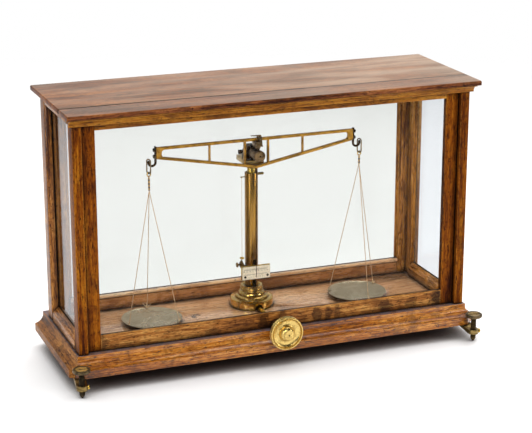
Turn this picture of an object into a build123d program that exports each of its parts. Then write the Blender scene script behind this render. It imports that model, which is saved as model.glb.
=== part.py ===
from build123d import *

import os
from math import cos, pi, radians, sin

# Cased precision balance: a glazed wooden case on three feet, with a brass beam balance inside.
# Millimetres. +Z is up, the front with the knob faces -Y, and the origin is the middle of the
# whole object's footprint on the table. Offsets named "_back" are measured from the middle of the
# case towards the rear, so that a negative one lies towards the front.

os.makedirs("parts", exist_ok=True)

# Case: overall sizes
case_width = 420.0
case_depth = 122.0
case_top = 279.7
floor_level = 36.0
base_underside = 15.2

# Plinth
plinth_reach = 11.3
plinth_rear_reach = 16.0
plinth_face_height = 8.7
plinth_lip = 2.5
plinth_step = 0.9
corner_clip = 10.0
floor_thickness = 5.6
base_board_thickness = 12.8

# Posts, rails and panes
post_face = 9.5
post_depth = 18.0
post_bevel = 3.0
post_bevel_in = 6.0
sash_stop_width = 11.0
sash_stop_depth = 3.4
rear_post_width = 23.0
rear_stile_depth = 7.0
rear_post_inset = 12.0
rail_height = 15.0
rail_bevel_height = 6.0
rear_rail_height = 17.0
side_rail_width = 14.0
pane_thickness = 1.6
pane_inset = 6.9
groove_width = 2.0
groove_depth = 3.5
pane_play = 0.2
pane_bite = 2.3
rear_pane_inset = 2.8
bead_width = 3.0

# Top board and its crown moulding
top_thickness = 5.0
top_side_reach = 7.0
top_front_reach = 12.3
top_rear_reach = 12.3
top_edge_round = 1.2
front_strip_width = 34.0
joint_gap = 1.3
joint_gap_end = -12.0
crown_height = 8.2
crown_reach = 10.0
crown_foot_reach = 2.0
crown_side_reach = 3.5
crown_lip = 1.3
head_rail_height = 12.7
head_rail_depth = 7.4

# Lift-out front sash
sash_recess = 5.0
sash_thickness = 9.0
sash_side_play = 0.8
sash_back_play = 0.6
sash_foot_play = 0.3
sash_headroom = 6.7
stile_width = 13.5
sash_top_rail = 8.0
sash_bottom_rail = 16.4
sash_rebate_width = 4.0
sash_rebate_front = 4.0
sash_pane_thickness = 1.6
shaft_notch_play = 0.7
dowel_radius = 1.5
dowel_height = 4.0
dowel_play = 0.3
dowel_spacing = 300.0

# Levelling screws and rear foot
level_side_reach = 3.5
level_back = -81.0
level_radius = 2.9
level_tip_height = 3.4
level_tip_radius = 0.6
level_head_radius = 8.8
level_head_bottom = 27.0
level_head_thickness = 3.6
level_slot_width = 1.5
level_slot_depth = 1.1
running_play = 0.05
collar_radius = 5.4
collar_bottom = 8.6
collar_height = 4.8
arm_thickness = 2.8
arm_length = 33.0
arm_root_width = 12.0
arm_heading = 8.0
arm_screw_radius = 1.5
arm_screw_head_radius = 2.8
arm_screw_head_height = 1.2
clamp_screw_radius = 1.1
clamp_head_radius = 2.3
clamp_head_length = 1.8
rear_foot_radius = 7.0
rear_foot_flange = 9.5
rear_foot_back = 62.0

# Arrest knob, shaft and lifting cam
shaft_height = 38.6
shaft_radius = 2.0
knob_radius = 17.5
knob_front_depth = 90.0
knob_hub_length = 8.0
knob_rim_length = 5.0
knob_rim_width = 1.9
knob_web = 2.0
knob_hub_radius = 8.0
knob_boss_radius = 5.0
knob_boss_length = 4.0
bush_width = 13.0
bush_length = 5.0
bush_height = 8.4
lift_travel = 4.0
lift_angle = 90.0
cam_start = 3.3
cam_width = 5.0
cam_gap = 0.15
rod_radius = 2.0

# Column
column_back = 18.2
column_radius = 6.9
column_wall = 1.8
column_slot_width = 6.3
column_slot_top = 87.6
foot_radius = 22.7
foot_disc_height = 9.0
foot_flange_radius = 17.3
foot_ring_radius = 11.5
foot_ring_top = 58.2
foot_seat = 48.0
foot_cavity_radius = 10.5
foot_arch_width = 9.0
foot_arch_height = 6.6
cam_pocket_depth = 2.5
guide_length = 12.0
guide_height = 100.0
pin_radius = 1.4
pin_reach = 6.8
pin_drop = 2.3

# Bearing head on the lifting rod
neck_radius = 4.3
neck_height = 5.7
neck_length = 22.0
head_plate_width = 19.6
head_stem_radius = 5.5
head_stem_height = 4.6
head_plate_thickness = 5.0
head_plate_rear = 36.0
head_plate_front = 7.0
head_block_width = 16.0
head_block_front = 12.0
head_block_rear = 24.0
head_block_height = 14.4
bearing_radius = 5.9
bearing_rise = 7.7
bearing_front = -8.0
bearing_rear = 26.0
bearing_flat_height = 4.2
knife_gap = 0.1

# Scale plate, carried through the column's slot by the lifting rod
scale_width = 31.0
scale_offset = 0.8
scale_height = 13.8
scale_middle = 75.0
scale_back = 5.6
scale_thickness = 1.0
scale_backing = 1.4
scale_border = 0.8
scale_arm_width = 5.0
scale_arm_height = 9.0
scale_screw_radius = 1.0
scale_screw_inset = 3.0

# Beam, knives and pointer
beam_back = 3.1
beam_half = 107.5
beam_thickness = 3.0
beam_top = 221.7
knife_drop = 13.1
beam_end_height = 12.0
beam_mid_height = 32.0
chord = 2.9
end_block = 5.5
mid_strut_place = 51.0
mid_strut = 1.7
centre_strut_place = 12.8
centre_strut = 2.0
window_round = 3.2
knife_half_width = 4.5
knife_length = 12.0
knife_shoulder = 5.6
pointer_radius = 0.6
pointer_tip_radius = 0.3
pointer_end = 70.5
end_plate_thickness = 1.6
end_plate_overlap = 1.0
hook_wire = 1.2
hang_reach = 8.1
end_edge_rise = 0.4
hook_bow_drop = 2.6
end_screw_radius = 1.9
end_screw_length = 1.7
end_screw_inset = 2.6
vane_length = 9.5
vane_height = 1.3
vane_post_radius = 0.9
vane_post_height = 0.5

# Hangers and pans
link_width = 7.0
link_height = 16.2
link_thickness = 2.2
link_wire = 1.7
link_play = 0.1
ring_radius = 2.4
ring_wire = 0.5
eye_radius = 1.2
thread_radius = 0.25
left_apex = 177.5
right_apex = 183.0
knot_radius = 0.8
pan_radius = 31.5
pan_rim = 41.6
pan_depth = 1.2
pan_wall = 0.6
pan_flat_radius = 22.0
thread_hole_inset = 1.6
left_thread_angles = (82.0, 202.0, 322.0)
right_thread_angles = (30.0, 150.0, 270.0)

# Plumb line
plumb_out = 10.6
plumb_hanger_drop = 4.3
plumb_hanger_radius = 0.8
plumb_line_radius = 0.2
bob_radius = 2.6
bob_top = 89.8
bob_rim = 0.8
bob_length = 3.3
plumb_gap = 0.4
index_thickness = 3.6
thumbscrew_drop = 5.0
thumbscrew_radius = 1.0
thumbscrew_head = 2.6

# Sizes that follow from the values above
half_width = case_width / 2
rear_reach = case_depth / 2 + plinth_rear_reach
case_y = (knob_front_depth - rear_reach) / 2
front_face = case_y - case_depth / 2
rear_face = case_y + case_depth / 2
plinth_front = front_face - plinth_reach
plinth_rear = rear_face + plinth_rear_reach
plinth_half = half_width + plinth_reach
top_underside = case_top - top_thickness
sash_front = front_face + sash_recess
sash_rear = sash_front + sash_thickness
stop_face = sash_rear + sash_back_play
opening_front = front_face + post_depth
opening_rear = rear_face - post_depth
floor_half = half_width - side_rail_width
floor_rear = rear_face - rear_stile_depth
rail_top = floor_level + rail_height
glass_head = top_underside - rail_height
rear_rail_top = floor_level + rear_rail_height
rear_glass_head = top_underside - rear_rail_height
pane_out = half_width - pane_inset
rear_pane_y = rear_face - rear_pane_inset
rear_inner = half_width - rear_post_width
column_y = case_y + column_back
beam_y = case_y + beam_back
knife_edge = beam_top - knife_drop
edge_height = knife_edge + end_edge_rise
hang_half = beam_half + hang_reach
hook_drop = edge_height - hook_bow_drop
bearing_flat = knife_edge - knife_gap
bearing_height = bearing_flat - bearing_flat_height
plate_top = bearing_height - bearing_rise
plate_foot = plate_top - head_plate_thickness
column_head = plate_foot - head_stem_height
column_top = column_head - neck_height
plumb_hanger_height = column_top - plumb_hanger_drop
bob_tip = bob_top - bob_length
thumbscrew_height = bob_tip - thumbscrew_drop
beam_slope = (beam_mid_height - beam_end_height) / beam_half
level_x = half_width + level_side_reach
level_y = case_y + level_back


def block(x_limits, y_limits, z_limits, mode=Mode.ADD):
    """A rectangular piece between three pairs of limits."""
    size = [limits[1] - limits[0] for limits in (x_limits, y_limits, z_limits)]
    middle = [sum(limits) / 2 for limits in (x_limits, y_limits, z_limits)]
    with Locations(tuple(middle)):
        Box(*size, mode=mode)


def rod_along_x(y, z, radius, x_from, x_to, mode=Mode.ADD):
    """A round rod along X from one end to the other."""
    with BuildSketch(Plane.YZ.offset(x_from)) as profile:
        with Locations((y, z)):
            Circle(radius)
    extrude(profile.sketch, amount=x_to - x_from, mode=mode)


def rod_along_y(x, z, radius, y_from, y_to, mode=Mode.ADD):
    """A round rod along Y from its front end to its rear end."""
    with BuildSketch(Plane.XZ.offset(-y_from)) as profile:
        with Locations((x, z)):
            Circle(radius)
    extrude(profile.sketch, amount=y_from - y_to, mode=mode)


def rod_along_z(x, y, radius, z_from, z_to, mode=Mode.ADD):
    """A round rod along Z from its foot to its head."""
    with BuildSketch(Plane.XY.offset(z_from)) as profile:
        with Locations((x, y)):
            Circle(radius)
    extrude(profile.sketch, amount=z_to - z_from, mode=mode)


def rod_between(start, end, radius, mode=Mode.ADD):
    """A round rod from one point to another."""
    run = Vector(*end) - Vector(*start)
    with BuildSketch(Plane(origin=start, z_dir=run)) as profile:
        Circle(radius)
    extrude(profile.sketch, amount=run.length, mode=mode)


def bar_along_x(outline, x_from, x_to):
    """A straight bar whose section, given as (y, z) points, runs along X."""
    with BuildSketch(Plane.YZ.offset(x_from)) as profile:
        with BuildLine():
            Polyline(*outline, close=True)
        make_face()
    extrude(profile.sketch, amount=x_to - x_from)


def bar_along_y(outline, y_from, y_to):
    """A straight bar whose section, given as (x, z) points, runs along Y."""
    with BuildSketch(Plane.XZ.offset(-y_from)) as profile:
        with BuildLine():
            Polyline(*outline, close=True)
        make_face()
    extrude(profile.sketch, amount=y_from - y_to)


def bar_along_z(outline, z_from, z_to):
    """An upright bar whose section, given as (x, y) points, runs along Z."""
    with BuildSketch(Plane.XY.offset(z_from)) as profile:
        with BuildLine():
            Polyline(*outline, close=True)
        make_face()
    extrude(profile.sketch, amount=z_to - z_from)


def turn_about_z(x, y, outline, mode=Mode.ADD):
    """A turned piece about an upright axis, from a closed outline of (radius, height) points."""
    with BuildSketch(Plane(origin=(x, y, 0), x_dir=(1, 0, 0), z_dir=(0, -1, 0))) as profile:
        with BuildLine():
            Polyline(*outline, close=True)
        make_face()
    revolve(profile.sketch, axis=Axis((x, y, 0), (0, 0, 1)), mode=mode)


def mirrored(outline, side):
    """The outline's points with their first coordinate turned to one side of the middle."""
    return [(side * across, other) for across, other in outline]


def cavetto(face, top, foot_level):
    """The hollow edge of a plinth strip, from its face up to its flat top, in (across, z)."""
    inward = 1 if top > face else -1
    start = (face + inward * plinth_step, foot_level)
    end = (top, floor_level - plinth_step)
    bend = cos(pi / 4)
    middle = (start[0] + (end[0] - start[0]) * bend, end[1] - (end[1] - start[1]) * bend)
    Line((face, foot_level), start)
    ThreePointArc(start, middle, end)
    Line(end, (top, floor_level))


def plinth_section(face, top, inside):
    """The closed section of a plinth strip, in (across, z)."""
    foot_level = base_underside + plinth_face_height
    with BuildLine() as outline:
        Line((inside, base_underside), (face, base_underside))
        Line((face, base_underside), (face, foot_level))
        cavetto(face, top, foot_level)
        Line((top, floor_level), (inside, floor_level))
        Line((inside, floor_level), (inside, base_underside))
    make_face(outline.edges())


def save(piece, label):
    """Name a finished piece and write it to its own file."""
    piece.part.label = label
    export_step(piece.part, f"parts/{label}.step")


# Base of the case: board, floor panel and the moulded plinth strips round them

with BuildPart() as base_board:
    board_top = floor_level - floor_thickness
    block((-floor_half, floor_half), (stop_face, floor_rear), (board_top - base_board_thickness, board_top))
save(base_board, "base_board")

with BuildPart() as floor_panel:
    block((-floor_half, floor_half), (stop_face, floor_rear), (floor_level - floor_thickness, floor_level))
    rod_along_z(0, column_y, foot_cavity_radius, floor_level - cam_pocket_depth, floor_level, Mode.SUBTRACT)
save(floor_panel, "floor_panel")

with BuildPart() as plinth_front_strip:
    with BuildSketch(Plane.YZ.offset(-plinth_half)):
        plinth_section(plinth_front, front_face - plinth_lip, stop_face)
    extrude(amount=2 * plinth_half)
    for side in (-1, 1):
        mitre = Plane(origin=(side * plinth_half, plinth_front, 0), z_dir=(-side, -1, 0))
        split(bisect_by=mitre, keep=Keep.TOP)
        clip = Plane(origin=(side * (plinth_half - corner_clip), plinth_front, 0), z_dir=(-side, 1, 0))
        split(bisect_by=clip, keep=Keep.TOP)
save(plinth_front_strip, "plinth_front")

for side, name in ((-1, "left"), (1, "right")):
    with BuildPart() as plinth_side_strip:
        with BuildSketch(Plane.XZ.offset(-plinth_front)):
            plinth_section(side * plinth_half, side * (half_width + plinth_lip), side * floor_half)
        extrude(amount=plinth_front - plinth_rear)
        mitre = Plane(origin=(side * plinth_half, plinth_front, 0), z_dir=(side, 1, 0))
        split(bisect_by=mitre, keep=Keep.TOP)
        clip = Plane(origin=(side * (plinth_half - corner_clip), plinth_front, 0), z_dir=(-side, 1, 0))
        split(bisect_by=clip, keep=Keep.TOP)
    save(plinth_side_strip, f"plinth_{name}")

with BuildPart() as plinth_rear_strip:
    with BuildSketch(Plane.YZ.offset(-floor_half)):
        plinth_section(plinth_rear, plinth_rear - plinth_reach + plinth_lip, floor_rear)
    extrude(amount=2 * floor_half)
save(plinth_rear_strip, "plinth_rear")

# Corner posts, grooved for the side and rear panes

front_post = [
    (half_width, front_face),
    (half_width - post_face, front_face),
    (half_width - post_face, stop_face),
    (half_width - post_face - sash_stop_width, stop_face),
    (half_width - post_face - sash_stop_width, opening_front),
    (half_width - post_bevel_in, opening_front),
    (half_width, opening_front - post_bevel),
]
rear_post = [
    (half_width, rear_face),
    (rear_inner, rear_face),
    (rear_inner, floor_rear),
    (half_width - rear_post_inset, floor_rear),
    (half_width - rear_post_inset, opening_rear),
    (half_width - post_bevel_in, opening_rear),
    (half_width, opening_rear + post_bevel),
]
side_groove = (pane_out - pane_thickness - pane_play, pane_out + pane_play)
rear_groove = (rear_pane_y - pane_thickness - pane_play, rear_pane_y + pane_play)
post_groove = pane_bite + pane_play
post_span = (floor_level, top_underside)

for side, name in ((-1, "left"), (1, "right")):
    groove = sorted(side * limit for limit in side_groove)
    with BuildPart() as post_front:
        bar_along_z(mirrored(front_post, side), floor_level, top_underside)
        block(groove, (opening_front - post_groove, opening_front), post_span, Mode.SUBTRACT)
    save(post_front, f"post_front_{name}")

    with BuildPart() as post_rear:
        bar_along_z(mirrored(rear_post, side), floor_level, top_underside)
        block(groove, (opening_rear, opening_rear + post_groove), post_span, Mode.SUBTRACT)
        inner_groove = sorted(side * limit for limit in (rear_inner, rear_inner + post_groove))
        block(inner_groove, rear_groove, post_span, Mode.SUBTRACT)
    save(post_rear, f"post_rear_{name}")

# Rails between the posts: a bevelled bar below each pane and another above it

groove_floor = rail_top - groove_depth
groove_roof = glass_head + groove_depth
side_sill = [
    (half_width, floor_level),
    (half_width, rail_top - rail_bevel_height),
    (half_width - post_bevel_in, rail_top),
    (side_groove[1], rail_top),
    (side_groove[1], groove_floor),
    (side_groove[0], groove_floor),
    (side_groove[0], rail_top),
    (side_groove[0] - plinth_step, rail_top),
    (floor_half, rail_top - rail_bevel_height),
    (floor_half, floor_level),
]
side_head = [(across, glass_head + rail_top - height) for across, height in side_sill[1:-1]]
side_head = [(half_width, top_underside)] + side_head + [(floor_half, top_underside)]

with BuildPart() as side_rails:
    for side in (-1, 1):
        bar_along_y(mirrored(side_sill, side), opening_front, opening_rear)
        bar_along_y(mirrored(side_head, side), opening_front, opening_rear)
save(side_rails, "side_rails")

rear_groove_floor = rear_rail_top - groove_depth
rear_groove_roof = rear_glass_head + groove_depth
rear_sill = [
    (rear_face, floor_level),
    (rear_face, rear_rail_top),
    (rear_groove[1], rear_rail_top),
    (rear_groove[1], rear_groove_floor),
    (rear_groove[0], rear_groove_floor),
    (rear_groove[0], rear_rail_top),
    (floor_rear, rear_rail_top - rail_bevel_height),
    (floor_rear, floor_level),
]
rear_head = [(back, rear_glass_head + rear_rail_top - height) for back, height in rear_sill[1:-1]]
rear_head = [(rear_face, top_underside)] + rear_head + [(floor_rear, top_underside)]

with BuildPart() as rear_rails:
    bar_along_x(rear_sill, -rear_inner, rear_inner)
    bar_along_x(rear_head, -rear_inner, rear_inner)
save(rear_rails, "rear_rails")

stop_inner = half_width - post_face - sash_stop_width
with BuildPart() as front_head_rail:
    block(
        (-stop_inner, stop_inner),
        (stop_face, stop_face + head_rail_depth),
        (top_underside - head_rail_height, top_underside),
    )
save(front_head_rail, "front_head_rail")

# Crown moulding under the front edge of the top

crown_top_y = front_face - crown_reach
crown_foot_y = front_face - crown_foot_reach
crown_foot = top_underside - crown_height
with BuildPart() as crown_moulding:
    with BuildSketch(Plane.YZ.offset(-half_width - crown_side_reach)):
        with BuildLine():
            start = (crown_top_y, top_underside - crown_lip)
            end = (crown_foot_y, crown_foot + crown_lip)
            bend = cos(pi / 4)
            middle = (end[0] - (end[0] - start[0]) * bend, start[1] - (start[1] - end[1]) * bend)
            hollow = (start[0] + end[0] - middle[0], start[1] + end[1] - middle[1])
            Line((front_face, crown_foot), (front_face, top_underside))
            Line((front_face, top_underside), (crown_top_y, top_underside))
            Line((crown_top_y, top_underside), start)
            ThreePointArc(start, hollow, end)
            Line(end, (crown_foot_y, crown_foot))
            Line((crown_foot_y, crown_foot), (front_face, crown_foot))
        make_face()
    extrude(amount=2 * (half_width + crown_side_reach))
save(crown_moulding, "crown_moulding")

# Top: a main board and a front strip whose glue joint has opened towards the left end

top_half = half_width + top_side_reach
top_front = front_face - top_front_reach
top_rear = rear_face + top_rear_reach
strip_rear = top_front + front_strip_width

with BuildPart() as top_board:
    block((-top_half, top_half), (strip_rear, top_rear), (top_underside, case_top))
    outer_edges = top_board.faces().sort_by(Axis.Z)[-1].edges()
    fillet(outer_edges.filter_by(Axis.Y) + outer_edges.sort_by(Axis.Y)[-1:], top_edge_round)
save(top_board, "top_board")

with BuildPart() as top_front_strip:
    strip_outline = [
        (-top_half, top_front),
        (top_half, top_front),
        (top_half, strip_rear),
        (joint_gap_end, strip_rear),
        (-top_half, strip_rear - joint_gap),
    ]
    bar_along_z(strip_outline, top_underside, case_top)
    upper_edges = top_front_strip.faces().sort_by(Axis.Z)[-1].edges()
    fillet(upper_edges.filter_by(Axis.Y) + upper_edges.sort_by(Axis.Y)[:1], top_edge_round)
save(top_front_strip, "top_front_strip")

# Glass of the sides and the rear, and the beads that hold it

pane_foot = groove_floor + pane_play
pane_head = groove_roof - pane_play
with BuildPart() as side_glass:
    for side in (-1, 1):
        across = sorted((side * pane_out, side * (pane_out - pane_thickness)))
        block(across, (opening_front - pane_bite, opening_rear + pane_bite), (pane_foot, pane_head))
save(side_glass, "glass_sides")

with BuildPart() as rear_glass:
    rear_pane_half = rear_inner + pane_bite
    rear_pane_depth = (rear_pane_y - pane_thickness, rear_pane_y)
    rear_pane_rise = (rear_groove_floor + pane_play, rear_groove_roof - pane_play)
    block((-rear_pane_half, rear_pane_half), rear_pane_depth, rear_pane_rise)
save(rear_glass, "glass_rear")

pane_inner_face = pane_out - pane_thickness
rear_pane_face = rear_pane_y - pane_thickness
with BuildPart() as glazing_beads:
    for side in (-1, 1):
        rear_bead = [
            (rear_inner, floor_rear),
            (rear_inner, rear_pane_face),
            (rear_inner - bead_width, rear_pane_face),
        ]
        bar_along_z(mirrored(rear_bead, side), rear_rail_top, rear_glass_head)
        for edge, inward in ((opening_front, 1), (opening_rear, -1)):
            side_bead = [
                (pane_inner_face, edge),
                (pane_inner_face - bead_width, edge),
                (pane_inner_face, edge + inward * bead_width),
            ]
            bar_along_z(mirrored(side_bead, side), rail_top, glass_head)
save(glazing_beads, "glazing_beads")

# Lift-out sash: stiles and rails with a rebate behind for the pane

sash_half = half_width - post_face - sash_side_play
sash_foot = floor_level + sash_foot_play
sash_head = top_underside - sash_headroom
stile_inner = sash_half - stile_width
sash_sill = floor_level + sash_bottom_rail
sash_lintel = sash_head - sash_top_rail
rebate_face = sash_front + sash_rebate_front

with BuildPart() as sash_stiles:
    stile = [
        (sash_half, sash_front),
        (stile_inner, sash_front),
        (stile_inner, rebate_face),
        (stile_inner + sash_rebate_width, rebate_face),
        (stile_inner + sash_rebate_width, sash_rear),
        (sash_half, sash_rear),
    ]
    for side in (-1, 1):
        bar_along_z(mirrored(stile, side), sash_foot, sash_head)
save(sash_stiles, "sash_stiles")

with BuildPart() as sash_top_bar:
    bar_along_x(
        [
            (sash_front, sash_head),
            (sash_front, sash_lintel),
            (rebate_face, sash_lintel),
            (rebate_face, sash_lintel + sash_rebate_width),
            (sash_rear, sash_lintel + sash_rebate_width),
            (sash_rear, sash_head),
        ],
        -stile_inner,
        stile_inner,
    )
save(sash_top_bar, "sash_top_rail")

with BuildPart() as sash_bottom_bar:
    bar_along_x(
        [
            (sash_front, sash_foot),
            (sash_front, sash_sill),
            (rebate_face, sash_sill),
            (rebate_face, sash_sill - sash_rebate_width),
            (sash_rear, sash_sill - sash_rebate_width),
            (sash_rear, sash_foot),
        ],
        -stile_inner,
        stile_inner,
    )
    notch_half = shaft_radius + shaft_notch_play
    notch_depth = (sash_front, sash_rear)
    block((-notch_half, notch_half), notch_depth, (sash_foot, shaft_height), Mode.SUBTRACT)
    rod_along_y(0, shaft_height, notch_half, sash_front, sash_rear, Mode.SUBTRACT)
    with Locations((0, (sash_front + sash_rear) / 2, floor_level)):
        with GridLocations(dowel_spacing, 0, 2, 1):
            Cylinder(
                dowel_radius + dowel_play,
                dowel_height + 2 * sash_foot_play,
                align=(Align.CENTER, Align.CENTER, Align.MIN),
                mode=Mode.SUBTRACT,
            )
save(sash_bottom_bar, "sash_bottom_rail")

with BuildPart() as sash_pane:
    pane_lap = sash_rebate_width - pane_play
    block(
        (-stile_inner - pane_lap, stile_inner + pane_lap),
        (rebate_face, rebate_face + sash_pane_thickness),
        (sash_sill - pane_lap, sash_lintel + pane_lap),
    )
save(sash_pane, "sash_glass")

# Feet: two levelling screws in brass arms at the front, and one turned foot at the rear

heading = radians(arm_heading)


def clamp_point(side, distance):
    """A point on the axis of a collar's clamp screw, at a distance from the levelling screw's axis."""
    out = (distance * cos(heading), -distance * sin(heading))
    return (side * level_x + out[0], level_y + out[1], collar_bottom + collar_height / 2)


screw_places = (0.58 * arm_length, 0.86 * arm_length)
for side, name in ((-1, "left"), (1, "right")):
    inward = (-side * sin(heading), cos(heading))
    upright = Plane(
        origin=(side * level_x, level_y, 0),
        x_dir=(inward[0], inward[1], 0),
        z_dir=(inward[1], -inward[0], 0),
    )
    flat = Plane(origin=(side * level_x, level_y, 0), x_dir=(inward[0], inward[1], 0), z_dir=(0, 0, 1))
    arm_flat = base_underside - arm_thickness
    with BuildPart() as foot_arm:
        with BuildSketch(upright):
            with BuildLine():
                Polyline(
                    (-collar_radius, collar_bottom),
                    (collar_radius / 2, collar_bottom),
                    (arm_length / 2, arm_flat),
                    (arm_length, arm_flat),
                    (arm_length, base_underside),
                    (arm_length / 3, base_underside),
                    (collar_radius, collar_bottom + collar_height),
                    (-collar_radius, collar_bottom + collar_height),
                    close=True,
                )
            make_face()
        extrude(amount=arm_root_width, both=True)
        with BuildSketch(flat):
            with BuildLine():
                Polyline(
                    (0, -collar_radius),
                    (1.4 * collar_radius, -collar_radius),
                    (arm_length / 2, -arm_root_width / 2),
                    (arm_length, -arm_root_width / 2),
                    (arm_length, arm_root_width / 2),
                    (arm_length / 2, arm_root_width / 2),
                    (1.4 * collar_radius, collar_radius),
                    (0, collar_radius),
                    close=True,
                )
            make_face()
            Circle(collar_radius)
        extrude(amount=base_underside, mode=Mode.INTERSECT)
        with BuildSketch(flat):
            Circle(level_radius + running_play)
            with Locations(*((place, 0) for place in screw_places)):
                Circle(arm_screw_radius)
        extrude(amount=base_underside, mode=Mode.SUBTRACT)
        bore_ends = (clamp_point(side, 0), clamp_point(side, 2 * collar_radius))
        rod_between(*bore_ends, clamp_screw_radius, Mode.SUBTRACT)
    save(foot_arm, f"foot_arm_{name}")

    with BuildPart() as levelling_screw:
        head_top = level_head_bottom + level_head_thickness
        turn_about_z(
            side * level_x,
            level_y,
            [
                (0, 0),
                (level_tip_radius, 0),
                (level_radius, level_tip_height),
                (level_radius, level_head_bottom - 1.2),
                (level_radius + 1.2, level_head_bottom),
                (level_head_radius - 0.7, level_head_bottom),
                (level_head_radius, level_head_bottom + 0.7),
                (level_head_radius, head_top - 0.7),
                (level_head_radius - 0.7, head_top),
                (level_head_radius - 2.4, head_top - 0.5),
                (0, head_top - 0.5),
            ],
        )
        slot_half = level_slot_width / 2
        block(
            (side * level_x - level_head_radius, side * level_x + level_head_radius),
            (level_y - slot_half, level_y + slot_half),
            (head_top - level_slot_depth, head_top),
            Mode.SUBTRACT,
        )
    save(levelling_screw, f"levelling_screw_{name}")

with BuildPart() as case_fasteners:
    for side in (-1, 1):
        for place in screw_places:
            screw_x = side * (level_x - place * sin(heading))
            screw_y = level_y + place * cos(heading)
            rod_along_z(screw_x, screw_y, arm_screw_radius, base_underside - arm_thickness, base_underside)
            head_low = base_underside - arm_thickness - arm_screw_head_height
            rod_along_z(screw_x, screw_y, arm_screw_head_radius, head_low, head_low + arm_screw_head_height)
        clamp_seat = clamp_point(side, collar_radius)
        rod_between(clamp_point(side, level_radius + 4 * running_play), clamp_seat, clamp_screw_radius)
        rod_between(clamp_seat, clamp_point(side, collar_radius + clamp_head_length), clamp_head_radius)
    for side in (-1, 1):
        dowel_y = (sash_front + sash_rear) / 2
        rod_along_z(side * dowel_spacing / 2, dowel_y, dowel_radius, floor_level, floor_level + dowel_height)
save(case_fasteners, "case_fasteners")

with BuildPart() as rear_foot:
    waist = rear_foot_radius - 1.6
    turn_about_z(
        0,
        case_y + rear_foot_back,
        [
            (0, 0),
            (rear_foot_radius - 0.8, 0),
            (rear_foot_radius, 0.8),
            (rear_foot_radius, 0.3 * base_underside),
            (waist, 0.43 * base_underside),
            (waist, 0.62 * base_underside),
            (rear_foot_flange, 0.84 * base_underside),
            (rear_foot_flange, base_underside),
            (0, base_underside),
        ],
    )
save(rear_foot, "rear_foot")

# Turned foot of the column, hollow for the cam, with an arch in front for the shaft

with BuildPart() as column_base:
    disc_top = floor_level + foot_disc_height
    foot_rise = foot_ring_top - disc_top
    with BuildSketch(Plane(origin=(0, column_y, 0), x_dir=(1, 0, 0), z_dir=(0, -1, 0))):
        with BuildLine():
            Polyline(
                (foot_cavity_radius, floor_level),
                (foot_radius, floor_level),
                (foot_radius, disc_top - 0.6),
                (foot_radius - 0.6, disc_top),
                (foot_flange_radius, disc_top),
                (foot_flange_radius, disc_top + 0.17 * foot_rise),
                (foot_flange_radius - 3.2, disc_top + 0.23 * foot_rise),
            )
            ThreePointArc(
                (foot_flange_radius - 3.2, disc_top + 0.23 * foot_rise),
                (foot_flange_radius - 3.4, disc_top + 0.42 * foot_rise),
                (foot_ring_radius + 0.3, disc_top + 0.56 * foot_rise),
            )
            ThreePointArc(
                (foot_ring_radius + 0.3, disc_top + 0.56 * foot_rise),
                (foot_ring_radius - 0.4, disc_top + 0.62 * foot_rise),
                (foot_ring_radius - 0.1, disc_top + 0.7 * foot_rise),
            )
            ThreePointArc(
                (foot_ring_radius - 0.1, disc_top + 0.7 * foot_rise),
                (foot_ring_radius + 0.7, disc_top + 0.78 * foot_rise),
                (foot_ring_radius - 0.4, disc_top + 0.87 * foot_rise),
            )
            Polyline(
                (foot_ring_radius - 0.4, disc_top + 0.87 * foot_rise),
                (foot_ring_radius, disc_top + 0.9 * foot_rise),
                (foot_ring_radius, foot_ring_top),
                (foot_ring_radius - 1.8, foot_ring_top),
                (column_radius + 0.5, foot_ring_top - 1.4),
                (column_radius, foot_ring_top - 1.4),
                (column_radius, foot_seat),
                (column_radius - column_wall, foot_seat),
                (column_radius - column_wall, foot_seat - 2.0),
                (foot_cavity_radius, foot_seat - 2.0),
                (foot_cavity_radius, floor_level),
            )
        make_face()
    revolve(axis=Axis((0, column_y, 0), (0, 0, 1)))
    arch_half = foot_arch_width / 2
    arch_spring = floor_level + foot_arch_height - arch_half
    arch_depth = (column_y - foot_radius, column_y - foot_cavity_radius / 2)
    block((-arch_half, arch_half), arch_depth, (floor_level, arch_spring), Mode.SUBTRACT)
    rod_along_y(0, arch_spring, arch_half, *arch_depth, Mode.SUBTRACT)
    shaft_end = column_y + foot_cavity_radius + 6.0
    rod_along_y(0, shaft_height, shaft_radius + running_play, column_y, shaft_end + 0.3, Mode.SUBTRACT)
save(column_base, "column_base")

with BuildPart() as column_tube:
    rod_along_z(0, column_y, column_radius, foot_seat, column_top)
    rod_along_z(0, column_y, column_radius - column_wall, foot_seat, column_top, Mode.SUBTRACT)
    slot_half = column_slot_width / 2
    slot_depth = (column_y - column_radius, column_y)
    block((-slot_half, slot_half), slot_depth, (foot_ring_top - 1.4, column_slot_top), Mode.SUBTRACT)
    pin_height = column_top - pin_drop
    pin_inner = column_radius - column_wall
    rod_along_x(column_y, pin_height, pin_radius, pin_inner - 0.6, column_radius + 1, Mode.SUBTRACT)
    hanger_bore = (-column_radius - 1, -pin_inner)
    rod_along_x(column_y, plumb_hanger_height, plumb_hanger_radius, *hanger_bore, Mode.SUBTRACT)
save(column_tube, "column_tube")

with BuildPart() as column_pins:
    rod_along_x(column_y, pin_height, pin_radius, pin_inner, column_radius + pin_reach)
    rod_along_x(column_y, plumb_hanger_height, plumb_hanger_radius, -plumb_out - 1.5, -pin_inner)
    pin_ends = column_pins.faces().sort_by(Axis.X)
    chamfer((pin_ends[:1] + pin_ends[-1:]).edges(), 0.3)
save(column_pins, "column_pins")

# Arrest: bushes for the shaft and the rod, then the knob, the shaft and the cam that lifts the rod

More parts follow.
